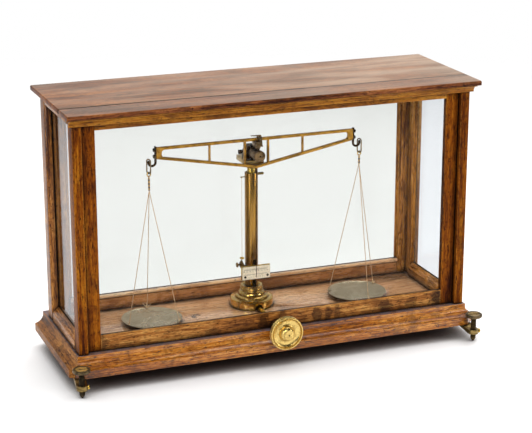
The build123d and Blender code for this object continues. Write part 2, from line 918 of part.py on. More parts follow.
bush_rear = sash_front - 1.0
bush_half = bush_width / 2
guide_outer = column_radius - column_wall
upper_guide = column_top - 2 * pin_drop - guide_length
with BuildPart() as bushes:
    bar_along_y(
        [
            (-bush_half, floor_level),
            (bush_half, floor_level),
            (bush_half, floor_level + bush_height - 3),
            (bush_half - 3, floor_level + bush_height),
            (3 - bush_half, floor_level + bush_height),
            (-bush_half, floor_level + bush_height - 3),
        ],
        bush_rear - bush_length,
        bush_rear,
    )
    bush_bore = shaft_radius + running_play
    rod_along_y(0, shaft_height, bush_bore, bush_rear - bush_length, bush_rear, Mode.SUBTRACT)
    for bore, foot in ((rod_radius, guide_height), (neck_radius, upper_guide)):
        rod_along_z(0, column_y, guide_outer, foot, foot + guide_length)
        rod_along_z(0, column_y, bore + running_play, foot, foot + guide_length, Mode.SUBTRACT)
save(bushes, "bushes")

knob_front = case_y - knob_front_depth
web_front = knob_front + knob_hub_length
web_back = web_front + knob_web
rim_front = web_back - knob_rim_length
with BuildPart() as arrest_knob:
    with BuildSketch(Plane.YZ.offset(0)):
        with BuildLine():
            Polyline(
                (knob_front, shaft_height),
                (knob_front, shaft_height + knob_hub_radius - 2.6),
                (knob_front + 0.5, shaft_height + knob_hub_radius - 2.1),
            )
            ThreePointArc(
                (knob_front + 0.5, shaft_height + knob_hub_radius - 2.1),
                (knob_front + 2.2, shaft_height + knob_hub_radius - 0.5),
                (knob_front + 4.6, shaft_height + knob_hub_radius),
            )
            Polyline(
                (knob_front + 4.6, shaft_height + knob_hub_radius),
                (web_front - 0.6, shaft_height + knob_hub_radius + 0.3),
                (web_front, shaft_height + knob_radius - knob_rim_width - 1.6),
                (rim_front + 0.8, shaft_height + knob_radius - knob_rim_width),
            )
            ThreePointArc(
                (rim_front + 0.8, shaft_height + knob_radius - knob_rim_width),
                (rim_front, shaft_height + knob_radius - knob_rim_width / 2),
                (rim_front + 0.8, shaft_height + knob_radius),
            )
            Polyline(
                (rim_front + 0.8, shaft_height + knob_radius),
                (web_back - 0.5, shaft_height + knob_radius),
                (web_back, shaft_height + knob_radius - 0.5),
                (web_back, shaft_height + knob_boss_radius),
                (web_back + knob_boss_length, shaft_height + knob_boss_radius - 1),
                (web_back + knob_boss_length, shaft_height),
                (knob_front, shaft_height),
            )
        make_face()
    revolve(axis=Axis((0, 0, shaft_height), (0, 1, 0)))
    rod_along_y(0, shaft_height, shaft_radius, web_front, web_back + knob_boss_length, Mode.SUBTRACT)
    rod_along_y(0, shaft_height, 0.7, knob_front, knob_front + 1.8, Mode.SUBTRACT)
save(arrest_knob, "arrest_knob")

with BuildPart() as arrest_shaft:
    rod_along_y(0, shaft_height, shaft_radius, web_front, shaft_end)
save(arrest_shaft, "arrest_shaft")

lift_rate = lift_travel / radians(lift_angle)
nose_start = cam_start + cam_gap + rod_radius


def cam_point(turn):
    """Cam edge where the rod's round nose bears, with the cam turned by an angle in radians."""
    reach = nose_start + lift_rate * turn
    away = pi / 2 + turn
    slope = (reach * cos(away) + lift_rate * sin(away), reach * sin(away) - lift_rate * cos(away))
    length = (slope[0] ** 2 + slope[1] ** 2) ** 0.5
    inset = rod_radius + cam_gap
    return (
        reach * cos(away) - inset * slope[0] / length,
        shaft_height + reach * sin(away) - inset * slope[1] / length,
    )


with BuildPart() as lift_cam:
    cam_middle = column_y
    ramp_steps = 6
    over_travel = radians(14)
    ramp_span = radians(lift_angle) + 2 * over_travel
    ramp = [cam_point(ramp_span * step / ramp_steps - over_travel) for step in range(ramp_steps + 1)]
    with BuildSketch(Plane.XZ.offset(-(cam_middle - cam_width / 2))):
        with BuildLine():
            Spline(*ramp)
            Line(ramp[-1], (-cam_start * cos(pi / 5), shaft_height - cam_start * sin(pi / 5)))
            ThreePointArc(
                (-cam_start * cos(pi / 5), shaft_height - cam_start * sin(pi / 5)),
                (0, shaft_height - cam_start),
                (cam_start * cos(pi / 5), shaft_height - cam_start * sin(pi / 5)),
            )
            Line((cam_start * cos(pi / 5), shaft_height - cam_start * sin(pi / 5)), ramp[0])
        make_face()
    extrude(amount=-cam_width)
    cam_depth = (cam_middle - cam_width / 2, cam_middle + cam_width / 2)
    rod_along_y(0, shaft_height, shaft_radius, *cam_depth, Mode.SUBTRACT)
save(lift_cam, "lift_cam")

# Lifting rod and the bearing head on it

with BuildPart() as lifting_rod:
    nose_centre = shaft_height + nose_start
    rod_along_z(0, column_y, rod_radius, nose_centre, column_head - neck_length)
    with Locations((0, column_y, nose_centre)):
        Sphere(rod_radius)
    rod_along_z(0, column_y, neck_radius, column_head - neck_length, column_head)
save(lifting_rod, "lifting_rod")

with BuildPart() as bearing_bracket:
    plate_half = head_plate_width / 2
    block_half = head_block_width / 2
    plate_depth = (case_y + head_plate_front, case_y + head_plate_rear)
    rod_along_z(0, column_y, head_stem_radius, column_head, plate_foot)
    block((-plate_half, plate_half), plate_depth, (plate_foot, plate_top))
    with BuildSketch(Plane.XZ.offset(-(case_y + head_block_front))):
        with BuildLine():
            Polyline(
                (-block_half, plate_top),
                (block_half, plate_top),
                (block_half, bearing_height),
                (block_half * 0.55, plate_top + head_block_height),
                (-block_half * 0.55, plate_top + head_block_height),
                (-block_half, bearing_height),
                close=True,
            )
        make_face()
    extrude(amount=head_block_front - head_block_rear)
    rod_along_y(0, bearing_height, bearing_radius, *plate_depth, Mode.SUBTRACT)
    clamp_y = case_y + (head_block_front + head_block_rear) / 2
    rod_along_x(clamp_y, bearing_height, clamp_screw_radius, -block_half - 1, 0, Mode.SUBTRACT)
save(bearing_bracket, "bearing_bracket")

with BuildPart() as bearing_cylinder:
    bearing_ends = (case_y + bearing_front, case_y + bearing_rear)
    rod_along_y(0, bearing_height, bearing_radius, *bearing_ends)
    chamfer(bearing_cylinder.faces().sort_by(Axis.Y)[0].edges(), 0.5)
    rod_along_y(0, bearing_height, 0.9, bearing_ends[0], bearing_ends[0] + 5, Mode.SUBTRACT)
    flat_reach = knife_length / 2 + 1
    block(
        (-bearing_radius, bearing_radius),
        (beam_y - flat_reach, beam_y + flat_reach),
        (bearing_flat, bearing_height + bearing_radius),
        Mode.SUBTRACT,
    )
save(bearing_cylinder, "bearing_cylinder")

with BuildPart() as bearing_clamp_screw:
    rod_along_x(clamp_y, bearing_height, clamp_screw_radius, -block_half - 2.6, -bearing_radius)
    rod_along_x(clamp_y, bearing_height, clamp_head_radius, -block_half - 6.2, -block_half - 2.6)
    chamfer(bearing_clamp_screw.faces().sort_by(Axis.X)[0].edges(), 0.4)
save(bearing_clamp_screw, "bearing_clamp_screw")

# Scale: an ivory-coloured plate on a brass backing with an arm through the column's slot

scale_low = scale_middle - scale_height / 2
scale_high = scale_middle + scale_height / 2
scale_half = scale_width / 2
scale_ends = (scale_offset - scale_half, scale_offset + scale_half)
scale_face = case_y + scale_back
backing_face = scale_face + scale_thickness
scale_screw_places = [
    (scale_offset + side * (scale_half - scale_screw_inset), scale_low + scale_screw_inset)
    for side in (-1, 1)
]
with BuildPart() as scale_backplate:
    backing_depth = (backing_face, backing_face + scale_backing)
    backing_high = scale_high + scale_border
    block((scale_ends[0] - scale_border, scale_ends[1]), backing_depth, (scale_low, backing_high))
    arm_half = scale_arm_width / 2
    arm_span = (scale_middle - scale_arm_height / 2, scale_middle + scale_arm_height / 2)
    block((-arm_half, arm_half), (backing_depth[1], column_y), arm_span)
    rod_along_z(0, column_y, rod_radius + 1.6, *arm_span)
    rod_along_z(0, column_y, rod_radius, *arm_span, Mode.SUBTRACT)
    for place in scale_screw_places:
        rod_along_y(*place, scale_screw_radius, *backing_depth, Mode.SUBTRACT)
save(scale_backplate, "scale_backplate")

with BuildPart() as scale_plate:
    block(scale_ends, (scale_face, backing_face), (scale_low, scale_high))
    for place in scale_screw_places:
        rod_along_y(*place, scale_screw_radius, scale_face, backing_face, Mode.SUBTRACT)
save(scale_plate, "scale_plate")

with BuildPart() as scale_screws:
    for place in scale_screw_places:
        rod_along_y(*place, scale_screw_radius, scale_face, backing_depth[1])
        rod_along_y(*place, scale_screw_radius + 0.35, scale_face - 0.4, scale_face)
save(scale_screws, "scale_screws")

# Beam: a flat pierced truss, level above and falling to the middle below


def lower_edge(x):
    """Height of the beam's lower edge at a distance from the middle."""
    return beam_top - beam_mid_height + beam_slope * abs(x)


def window(side, inner, outer):
    """A pierced window of the beam between two distances from the middle."""
    low_inner = lower_edge(inner) + chord
    low_outer = lower_edge(outer) + chord
    high = beam_top - chord
    with BuildLine() as outline:
        Polyline(
            (side * inner, low_inner),
            (side * outer, low_outer),
            (side * outer, high),
            (side * inner, high),
            close=True,
        )
    make_face(outline.edges(), mode=Mode.SUBTRACT)


beam_front = beam_y - beam_thickness / 2
beam_rear = beam_y + beam_thickness / 2
with BuildPart() as beam:
    with BuildSketch(Plane.XZ.offset(-beam_front)):
        with BuildLine():
            Polyline(
                (-beam_half, beam_top),
                (-beam_half, beam_top - beam_end_height),
                (0, beam_top - beam_mid_height),
                (beam_half, beam_top - beam_end_height),
                (beam_half, beam_top),
                close=True,
            )
        make_face()
        for side in (-1, 1):
            window(side, mid_strut_place + mid_strut / 2, beam_half - end_block)
            window(side, centre_strut_place + centre_strut / 2, mid_strut_place - mid_strut / 2)
        centre_half = centre_strut_place - centre_strut / 2
        with BuildLine():
            Polyline(
                (-centre_half, lower_edge(centre_half) + chord),
                (0, lower_edge(0) + chord),
                (centre_half, lower_edge(centre_half) + chord),
                (centre_half, beam_top - chord),
                (-centre_half, beam_top - chord),
                close=True,
            )
        make_face(mode=Mode.SUBTRACT)
    extrude(amount=-beam_thickness)
    upright_edges = beam.edges().filter_by(Axis.Y)
    window_end = beam_half - end_block
    round_ends = [edge for edge in upright_edges if abs(abs(edge.center().X) - window_end) < 0.1]
    fillet(round_ends, window_round)
save(beam, "beam")

with BuildPart() as centre_knife:
    knife_top = beam_top - chord
    bar_along_y(
        [
            (-knife_half_width, knife_top),
            (-knife_half_width, knife_edge + knife_shoulder),
            (0, knife_edge),
            (knife_half_width, knife_edge + knife_shoulder),
            (knife_half_width, knife_top),
        ],
        beam_y - knife_length / 2,
        beam_y + knife_length / 2,
    )
save(centre_knife, "centre_knife")

with BuildPart() as pointer:
    pointer_head = lower_edge(0)
    turn_about_z(
        0,
        beam_y,
        [
            (0, pointer_end),
            (pointer_tip_radius, pointer_end),
            (pointer_radius, pointer_head - 6),
            (pointer_radius * 2.2, pointer_head - 4),
            (pointer_radius * 2.2, pointer_head),
            (0, pointer_head),
        ],
    )
save(pointer, "pointer")

plate_low = beam_top - beam_end_height - end_plate_overlap
plate_high = beam_top + end_plate_overlap
plate_outer = beam_half + end_plate_thickness
wire_out = beam_half + end_plate_thickness / 2
with BuildPart() as end_hooks:
    for side in (-1, 1):
        across = sorted((side * beam_half, side * plate_outer))
        block(across, (beam_front, beam_rear), (plate_low, plate_high))
        with BuildLine():
            hook_radius = (hang_half - wire_out) / 2
            hook_path = [
                Line((side * wire_out, beam_y, plate_low + 0.5), (side * wire_out, beam_y, hook_drop)),
                ThreePointArc(
                    (side * wire_out, beam_y, hook_drop),
                    (side * (wire_out + hook_radius), beam_y, hook_drop - hook_radius),
                    (side * hang_half, beam_y, hook_drop),
                ),
            ]
        with BuildSketch(Plane(origin=(side * wire_out, beam_y, plate_low + 0.5), z_dir=(0, 0, -1))):
            Circle(hook_wire)
        sweep()
        turn_about_z(
            side * hang_half,
            beam_y,
            [(0, hook_drop), (hook_wire, hook_drop), (hook_wire, edge_height - 1.2), (0, edge_height)],
        )
save(end_hooks, "end_hooks")

with BuildPart() as end_screws:
    for side in (-1, 1):
        for height in (beam_top - end_screw_inset, beam_top - beam_end_height + end_screw_inset):
            rod_along_x(
                beam_y,
                height,
                end_screw_radius,
                side * plate_outer,
                side * (plate_outer + end_screw_length),
            )
    outer_faces = end_screws.faces().filter_by(Axis.X).group_by(Axis.X)
    fillet((outer_faces[0] + outer_faces[-1]).edges(), 0.7)
save(end_screws, "end_screws")

# Brass clip over the beam's upper chord, and the small vane that turns on it to set the zero

clip_x = 3.4
clip_width = 3.0
clip_wall = 0.9
with BuildPart() as beam_clip:
    clip_limits = (clip_x - clip_width / 2, clip_x + clip_width / 2)
    block(clip_limits, (beam_front - clip_wall, beam_rear + clip_wall), (beam_top, beam_top + clip_wall))
    for face in ((beam_front - clip_wall, beam_front), (beam_rear, beam_rear + clip_wall)):
        block(clip_limits, face, (beam_top - chord + 0.3, beam_top))
save(beam_clip, "beam_clip")

vane_foot = beam_top + clip_wall
with BuildPart() as zero_vane:
    rod_along_z(clip_x, beam_y, vane_post_radius, vane_foot + running_play, vane_foot + vane_post_height)
    vane_low = vane_foot + vane_post_height
    bar_along_y(
        [
            (clip_x - vane_length, vane_low + vane_height * 0.7),
            (clip_x - vane_length, vane_low + vane_height),
            (clip_x + 1.2, vane_low + vane_height),
            (clip_x + 2.0, vane_low + vane_height * 0.4),
            (clip_x + 2.0, vane_low),
            (clip_x - 1.2, vane_low),
        ],
        beam_y - 1.1,
        beam_y + 1.1,
    )
save(zero_vane, "zero_vane")

# Hangers: a flat link on each end edge, a ring below it, then threads and a shallow pan

link_top = edge_height + link_wire + link_play
link_foot = link_top - link_height
ring_middle = link_foot + link_wire + 0.1 - (ring_radius - ring_wire)
ring_foot = ring_middle - ring_radius
eye_middle = ring_foot + ring_wire + 0.15 - (eye_radius - thread_radius)
knot_top = eye_middle - eye_radius + thread_radius
pan_floor = pan_rim - pan_depth - pan_wall
hole_radius = pan_radius - thread_hole_inset

hangings = (
    (-1, "left", left_apex, left_thread_angles),
    (1, "right", right_apex, right_thread_angles),
)
for side, name, apex, angles in hangings:
    hang_x = side * hang_half
    with BuildPart() as link:
        with BuildSketch(Plane.YZ.offset(hang_x - link_thickness / 2)):
            with Locations((beam_y, (link_top + link_foot) / 2)):
                RectangleRounded(link_width, link_height, link_width / 2 - 0.2)
                inner_width = link_width - 2 * link_wire
                RectangleRounded(
                    inner_width,
                    link_height - 2 * link_wire,
                    inner_width / 2 - 0.1,
                    mode=Mode.SUBTRACT,
                )
        extrude(amount=link_thickness)
        with Locations(Plane(origin=(hang_x, beam_y, ring_middle), z_dir=(0, 1, 0))):
            Torus(ring_radius, ring_wire)
    save(link, f"link_{name}")

    with BuildPart() as threads:
        with Locations(Plane(origin=(hang_x, beam_y, eye_middle), z_dir=(1, 0, 0))):
            Torus(eye_radius, thread_radius)
        rod_along_z(hang_x, beam_y, knot_radius, apex, knot_top)
        for angle in angles:
            hole_x = hang_x + hole_radius * cos(radians(angle))
            hole_y = beam_y + hole_radius * sin(radians(angle))
            rod_between((hang_x, beam_y, apex + knot_radius), (hole_x, hole_y, pan_rim), thread_radius)
            with Locations((hole_x, hole_y, pan_rim + 0.3)):
                Sphere(knot_radius)
    save(threads, f"threads_{name}")

    with BuildPart() as pan:
        turn_about_z(
            hang_x,
            beam_y,
            [
                (0, pan_floor),
                (pan_flat_radius, pan_floor),
                (pan_radius - 0.4, pan_rim - pan_wall - 0.5),
                (pan_radius, pan_rim - pan_wall),
                (pan_radius, pan_rim - 0.5),
                (pan_radius - 0.6, pan_rim - 0.5),
                (pan_flat_radius, pan_floor + pan_wall),
                (0, pan_floor + pan_wall),
            ],
        )
    save(pan, f"pan_{name}")

# Plumb line at the column's left, with its index bracket and a thumbscrew

with BuildPart() as plumb_bracket:
    index_tip = bob_tip - plumb_gap
    index_foot = thumbscrew_height - 7.0
    with BuildSketch(Plane.XZ.offset(-(column_y - index_thickness / 2))):
        with BuildLine():
            Spline(
                (-column_radius + 0.6, index_foot),
                (-plumb_out - 1.4, index_foot + 2.6),
                (-plumb_out - 2.6, thumbscrew_height),
                (-plumb_out, index_tip),
            )
            Spline(
                (-plumb_out, index_tip),
                (-plumb_out + 1.6, thumbscrew_height + 0.6),
                (-column_radius + 0.6, index_foot + 4.6),
            )
            Line((-column_radius + 0.6, index_foot + 4.6), (-column_radius + 0.6, index_foot))
        make_face()
    extrude(amount=-index_thickness)
    rod_along_z(0, column_y, column_radius, index_foot - 1, index_tip, Mode.SUBTRACT)
    thumb_bore = thumbscrew_radius + running_play
    rod_along_x(column_y, thumbscrew_height, thumb_bore, -plumb_out - 4, -plumb_out, Mode.SUBTRACT)
save(plumb_bracket, "plumb_bracket")

with BuildPart() as plumb_thumbscrew:
    thumb_inner = -plumb_out - 0.1
    thumb_outer = -plumb_out - 4.8
    rod_along_x(column_y, thumbscrew_height, thumbscrew_radius, thumb_outer, thumb_inner)
    rod_along_x(column_y, thumbscrew_height, thumbscrew_head, thumb_outer - 1.6, thumb_outer)
    chamfer(plumb_thumbscrew.faces().sort_by(Axis.X)[0].edges(), 0.4)
save(plumb_thumbscrew, "plumb_thumbscrew")

with BuildPart() as plumb_line:
    line_head = plumb_hanger_height - plumb_hanger_radius - running_play
    rod_along_z(-plumb_out, column_y, plumb_line_radius, bob_top, line_head)
save(plumb_line, "plumb_line")

with BuildPart() as plumb_bob:
    turn_about_z(
        -plumb_out,
        column_y,
        [
            (0, bob_tip),
            (bob_radius, bob_top - 2 * bob_rim),
            (bob_radius, bob_top - bob_rim),
            (bob_radius * 0.35, bob_top - bob_rim * 0.6),
            (bob_radius * 0.3, bob_top),
            (0, bob_top),
        ],
    )
save(plumb_bob, "plumb_bob")
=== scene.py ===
"""Looks of a cased precision balance: oiled wood, brass, steel, glass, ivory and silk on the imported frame.

Sizes are in millimetres and become metres where a mesh, a curve or a lamp is placed.
"""

import logging
import math
from dataclasses import dataclass, field, replace
from enum import Enum
from typing import Iterable, Optional, Sequence, Union

import bmesh
import bpy
from mathutils import Matrix, Vector


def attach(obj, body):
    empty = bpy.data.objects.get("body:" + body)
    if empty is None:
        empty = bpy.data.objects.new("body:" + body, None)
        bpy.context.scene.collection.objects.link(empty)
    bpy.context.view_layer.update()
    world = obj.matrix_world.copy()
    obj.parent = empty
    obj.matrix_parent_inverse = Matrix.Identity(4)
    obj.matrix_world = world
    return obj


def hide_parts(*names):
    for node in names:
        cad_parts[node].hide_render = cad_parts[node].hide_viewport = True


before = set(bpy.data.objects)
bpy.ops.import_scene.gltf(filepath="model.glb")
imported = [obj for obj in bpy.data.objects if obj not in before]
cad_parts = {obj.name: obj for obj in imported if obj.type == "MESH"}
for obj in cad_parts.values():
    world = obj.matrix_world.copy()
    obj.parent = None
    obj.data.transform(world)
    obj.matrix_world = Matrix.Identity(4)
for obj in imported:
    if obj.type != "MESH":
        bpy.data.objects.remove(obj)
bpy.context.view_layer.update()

log = logging.getLogger("balance")

Point = tuple[float, float, float]
Colour = tuple[float, float, float, float]
Value = Union[float, Colour, Point, bpy.types.NodeSocket]
Shape = bmesh.types.BMesh

MM = 0.001
PER_MM: Point = (1000.0, 1000.0, 1000.0)
WHITE: Colour = (1.0, 1.0, 1.0, 1.0)
TOP_FACE = 279.7
FLOOR_FACE = 36.0
SASH_FACE = -49.0
BEAM_Y = 9.6
COLUMN_Y = 24.7
COLUMN_AXIS: Point = (0.0, COLUMN_Y, 0.0)


def tint(code: str) -> Colour:
    """Scene-linear colour of a screen colour.

    Args:
        code: the screen colour's hex code.

    Returns:
        Its red, green and blue, with full opacity.
    """
    parts = [int(code[i : i + 2], 16) / 255 for i in (1, 3, 5)]
    lin = [c / 12.92 if c <= 0.04045 else ((c + 0.055) / 1.055) ** 2.4 for c in parts]
    return (lin[0], lin[1], lin[2], 1.0)


class Grain(Enum):
    """Direction in which a board's fibres run."""

    ALONG_X = 0
    ALONG_Y = 1
    ALONG_Z = 2

    def stretch(self, share: float) -> Point:
        """Scale that draws a pattern out along the fibres.

        Args:
            share: the scale left along the fibres, as a share of that across them.

        Returns:
            The scale along each axis in pattern units per metre.
        """
        scale = list(PER_MM)
        scale[self.value] *= share
        return (scale[0], scale[1], scale[2])


class Nodes:
    """A node tree that is laid node by node, from its coordinates to its output."""

    def __init__(self, tree: bpy.types.NodeTree, output: str, coordinates: str) -> None:
        """Start an empty tree.

        Args:
            tree: the tree, which is cleared.
            output: the type of its output node.
            coordinates: the coordinates that its patterns lie on.
        """
        self.tree = tree
        self.tree.nodes.clear()
        self.output = self.add(output)
        self.where = self.add("ShaderNodeTexCoord").outputs[coordinates]

    def add(self, kind: str, **settings: object) -> bpy.types.Node:
        """Add a node and set its properties.

        Args:
            kind: the node's type.
            **settings: its properties.

        Returns:
            The new node.
        """
        node = self.tree.nodes.new(kind)
        for key, value in settings.items():
            setattr(node, key, value)
        return node

    def put(self, node: bpy.types.Node, socket: Union[str, int], value: Value) -> None:
        """Link a socket into an input, or set the input to a plain value.

        Args:
            node: the node that has the input.
            socket: the input's name or number.
            value: a socket or a plain value.
        """
        target = node.inputs[socket]
        if isinstance(value, bpy.types.NodeSocket):
            self.tree.links.new(value, target)
        else:
            target.default_value = value

    def place(self, scale: Point, offset: Point = (0, 0, 0), turn: Point = (0, 0, 0)) -> bpy.types.NodeSocket:
        """Object coordinates, scaled, turned and moved.

        Args:
            scale: pattern units per metre along each axis.
            offset: shift in pattern units.
            turn: turn about each axis in radians.

        Returns:
            The socket that holds the coordinates.
        """
        node = self.add("ShaderNodeMapping")
        self.put(node, "Vector", self.where)
        self.put(node, "Scale", scale)
        self.put(node, "Location", offset)
        self.put(node, "Rotation", turn)
        return node.outputs[0]

    def part(self, vector: Value, axis: str) -> bpy.types.NodeSocket:
        """One coordinate of a vector.

        Args:
            vector: the vector.
            axis: the coordinate, X, Y or Z.

        Returns:
            The socket that holds the coordinate.
        """
        split = self.add("ShaderNodeSeparateXYZ")
        self.put(split, 0, vector)
        return split.outputs[axis]

    def length(self, vector: Value) -> bpy.types.NodeSocket:
        """The length of a vector.

        Args:
            vector: the vector.

        Returns:
            The socket that holds its length.
        """
        node = self.add("ShaderNodeVectorMath", operation="LENGTH")
        self.put(node, 0, vector)
        return node.outputs["Value"]

    def round_axis(self, axis: str, hub: Point) -> bpy.types.NodeSocket:
        """Coordinates of distance from an axis and height along it, for the lines that a lathe leaves.

        Args:
            axis: the axis of turning, X, Y or Z.
            hub: a point on the axis in millimetres.

        Returns:
            The socket that holds the coordinates, in pattern units of a millimetre.
        """
        across = list(PER_MM)
        across["XYZ".index(axis)] = 0.0
        offset = tuple(-c * s * MM for c, s in zip(hub, across))
        joined = self.add("ShaderNodeCombineXYZ")
        self.put(joined, 0, self.length(self.place(tuple(across), offset)))
        self.put(joined, 1, self.part(self.place(PER_MM), axis))
        return joined.outputs[0]

    def speckle(
        self, where: Value, scale: float, detail: float = 2.0, rough: float = 0.5, warp: float = 0.0
    ) -> bpy.types.NodeSocket:
        """Soft noise.

        Args:
            where: the coordinates.
            scale: features per pattern unit.
            detail: the number of finer layers.
            rough: the share of the finer layers.
            warp: how far the pattern is drawn about.

        Returns:
            The socket that holds the noise, between 0 and 1.
        """
        node = self.add("ShaderNodeTexNoise")
        self.put(node, "Vector", where)
        self.put(node, "Scale", scale)
        self.put(node, "Detail", detail)
        self.put(node, "Roughness", rough)
        self.put(node, "Distortion", warp)
        return node.outputs[0]

    def bands(self, where: Value, scale: float, warp: float, axis: str) -> bpy.types.NodeSocket:
        """Waving bands.

        Args:
            where: the coordinates.
            scale: bands per pattern unit.
            warp: how far the bands wave.
            axis: the axis that they cross.

        Returns:
            The socket that holds the bands, between 0 and 1.
        """
        node = self.add("ShaderNodeTexWave", bands_direction=axis)
        self.put(node, "Vector", where)
        self.put(node, "Scale", scale)
        self.put(node, "Distortion", warp)
        self.put(node, "Detail", 2.0)
        self.put(node, "Detail Scale", 1.4)
        return node.outputs[1]

    def ramp(self, value: Value, stops: Sequence[tuple[float, Colour]]) -> bpy.types.NodeSocket:
        """Colours laid along a value.

        Args:
            value: the value.
            stops: the colours with their places, in rising order.

        Returns:
            The socket that holds the colour.
        """
        node = self.add("ShaderNodeValToRGB")
        steps = node.color_ramp.elements
        while len(steps) < len(stops):
            steps.new(0.5)
        for step, (at, colour) in zip(steps, stops):
            step.position = at
            step.color = colour
        self.put(node, 0, value)
        return node.outputs[0]

    def span(
        self, value: Value, low: float, high: float, out: tuple[float, float] = (0.0, 1.0)
    ) -> bpy.types.NodeSocket:
        """A value moved from one span to another, smoothly and held at the ends.

        Args:
            value: the value.
            low: where its span starts.
            high: where its span ends.
            out: the span that it is moved to.

        Returns:
            The socket that holds the moved value.
        """
        node = self.add("ShaderNodeMapRange", interpolation_type="SMOOTHSTEP")
        for socket, number in zip(range(1, 5), (low, high, *out)):
            self.put(node, socket, number)
        self.put(node, 0, value)
        return node.outputs[0]

    def mix(self, share: Value, first: Value, second: Value) -> bpy.types.NodeSocket:
        """Two colours mixed.

        Args:
            share: the second colour's share.
            first: the first colour.
            second: the second colour.

        Returns:
            The socket that holds the mixed colour.
        """
        node = self.add("ShaderNodeMix", data_type="RGBA")
        self.put(node, 0, share)
        self.put(node, 6, first)
        self.put(node, 7, second)
        return node.outputs[2]

    def sum(self, operation: str, first: Value, second: Value, clamp: bool = False) -> bpy.types.NodeSocket:
        """Arithmetic on two values.

        Args:
            operation: the node's name for the arithmetic.
            first: the first value.
            second: the second value.
            clamp: whether the result is held between 0 and 1.

        Returns:
            The socket that holds the result.
        """
        node = self.add("ShaderNodeMath", operation=operation, use_clamp=clamp)
        self.put(node, 0, first)
        self.put(node, 1, second)
        return node.outputs[0]

    def times(self, first: Value, *others: Value) -> Value:
        """The product of several values.

        Args:
            first: the first value.
            *others: the values that it is multiplied by.

        Returns:
            The product, held between 0 and 1 at each step.
        """
        product = first
        for other in others:
            product = self.sum("MULTIPLY", product, other, clamp=True)
        return product

    def blend(self, *parts: tuple[Value, float]) -> bpy.types.NodeSocket:
        """The weighted sum of several values.

        Args:
            *parts: the values with their weights.

        Returns:
            The socket that holds the sum.
        """
        whole = self.sum("MULTIPLY", parts[0][0], parts[0][1])
        for value, weight in parts[1:]:
            node = self.add("ShaderNodeMath", operation="MULTIPLY_ADD")
            for socket, number in zip(range(3), (value, weight, whole)):
                self.put(node, socket, number)
            whole = node.outputs[0]
        return whole

    def edge(self, reach: float) -> bpy.types.NodeSocket:
        """How near a point lies to a sharp edge or corner.

        Args:
            reach: how far the edge is felt, in millimetres.

        Returns:
            The socket that holds the nearness, 0 on flat faces.
        """
        soft = self.add("ShaderNodeBevel", samples=6)
        self.put(soft, "Radius", reach * MM)
        face = self.add("ShaderNodeNewGeometry")
        dot = self.add("ShaderNodeVectorMath", operation="DOT_PRODUCT")
        self.put(dot, 0, soft.outputs[0])
        self.put(dot, 1, face.outputs["Normal"])
        return self.span(dot.outputs["Value"], 0.995, 0.8)

    def nook(self, reach: float) -> bpy.types.NodeSocket:
        """How shut in a point is by what stands round it.

        Args:
            reach: how far the neighbours are felt, in millimetres.

        Returns:
            The socket that holds the share, 0 in the open.
        """
        node = self.add("ShaderNodeAmbientOcclusion", samples=6)
        self.put(node, "Distance", reach * MM)
        return self.span(node.outputs["AO"], 0.94, 0.48)

    def upward(self, low: float = 0.8, high: float = 0.97) -> bpy.types.NodeSocket:
        """How far the surface faces up.

        Args:
            low: the upward part of the normal where the share starts.
            high: the upward part of the normal where the share is full.

        Returns:
            The socket that holds the share.
        """
        face = self.add("ShaderNodeNewGeometry")
        return self.span(self.part(face.outputs["Normal"], "Z"), low, high)

    def blot(self, centre: Point, radii: Point, ragged: Value) -> bpy.types.NodeSocket:
        """A blot on the piece with a ragged edge.

        Args:
            centre: its centre in millimetres.
            radii: its radius along each axis in millimetres.
            ragged: the noise that breaks up its edge.

        Returns:
            The socket that holds its share.
        """
        scale = tuple(1 / (r * MM) for r in radii)
        offset = tuple(-c * MM * s for c, s in zip(centre, scale))
        away = self.length(self.place(scale, offset))
        return self.span(self.sum("ADD", away, ragged), 1.05, 0.7)

    def relief(
        self, height: Value, strength: float, depth: float, under: Optional[Value] = None
    ) -> bpy.types.NodeSocket:
        """Bumps of a height map.

        Args:
            height: the height map.
            strength: the share of the bumps.
            depth: their depth in millimetres.
            under: the bumps that they lie on, if any.

        Returns:
            The socket that holds the bumped normal.
        """
        node = self.add("ShaderNodeBump")
        self.put(node, "Height", height)
        self.put(node, "Strength", strength)
        self.put(node, "Distance", depth * MM)
        if under is not None:
            self.put(node, "Normal", under)
        return node.outputs[0]


class Recipe(Nodes):
    """A material's nodes, laid from its pattern to its surface."""

    def __init__(self, name: str) -> None:
        """Start a material with a Principled surface joined to its output.

        Args:
            name: the material's name.
        """
        self.material = bpy.data.materials.new(name)
        self.material.use_nodes = True
        super().__init__(self.material.node_tree, "ShaderNodeOutputMaterial", "Object")
        self.shader = self.add("ShaderNodeBsdfPrincipled")
        self.put(self.output, 0, self.shader.outputs[0])

    def surface(self, **values: Value) -> None:
        """Set inputs of the Principled surface, with underscores for the spaces in their names."""
        for name, value in values.items():
            self.put(self.shader, name.replace("_", " "), value)


@dataclass(frozen=True)
class Stain:
    """A dark mark in the wood, ragged at its edge, with its centre and radii in millimetres."""

    centre: Point
    radii: Point
    depth: float = 0.8


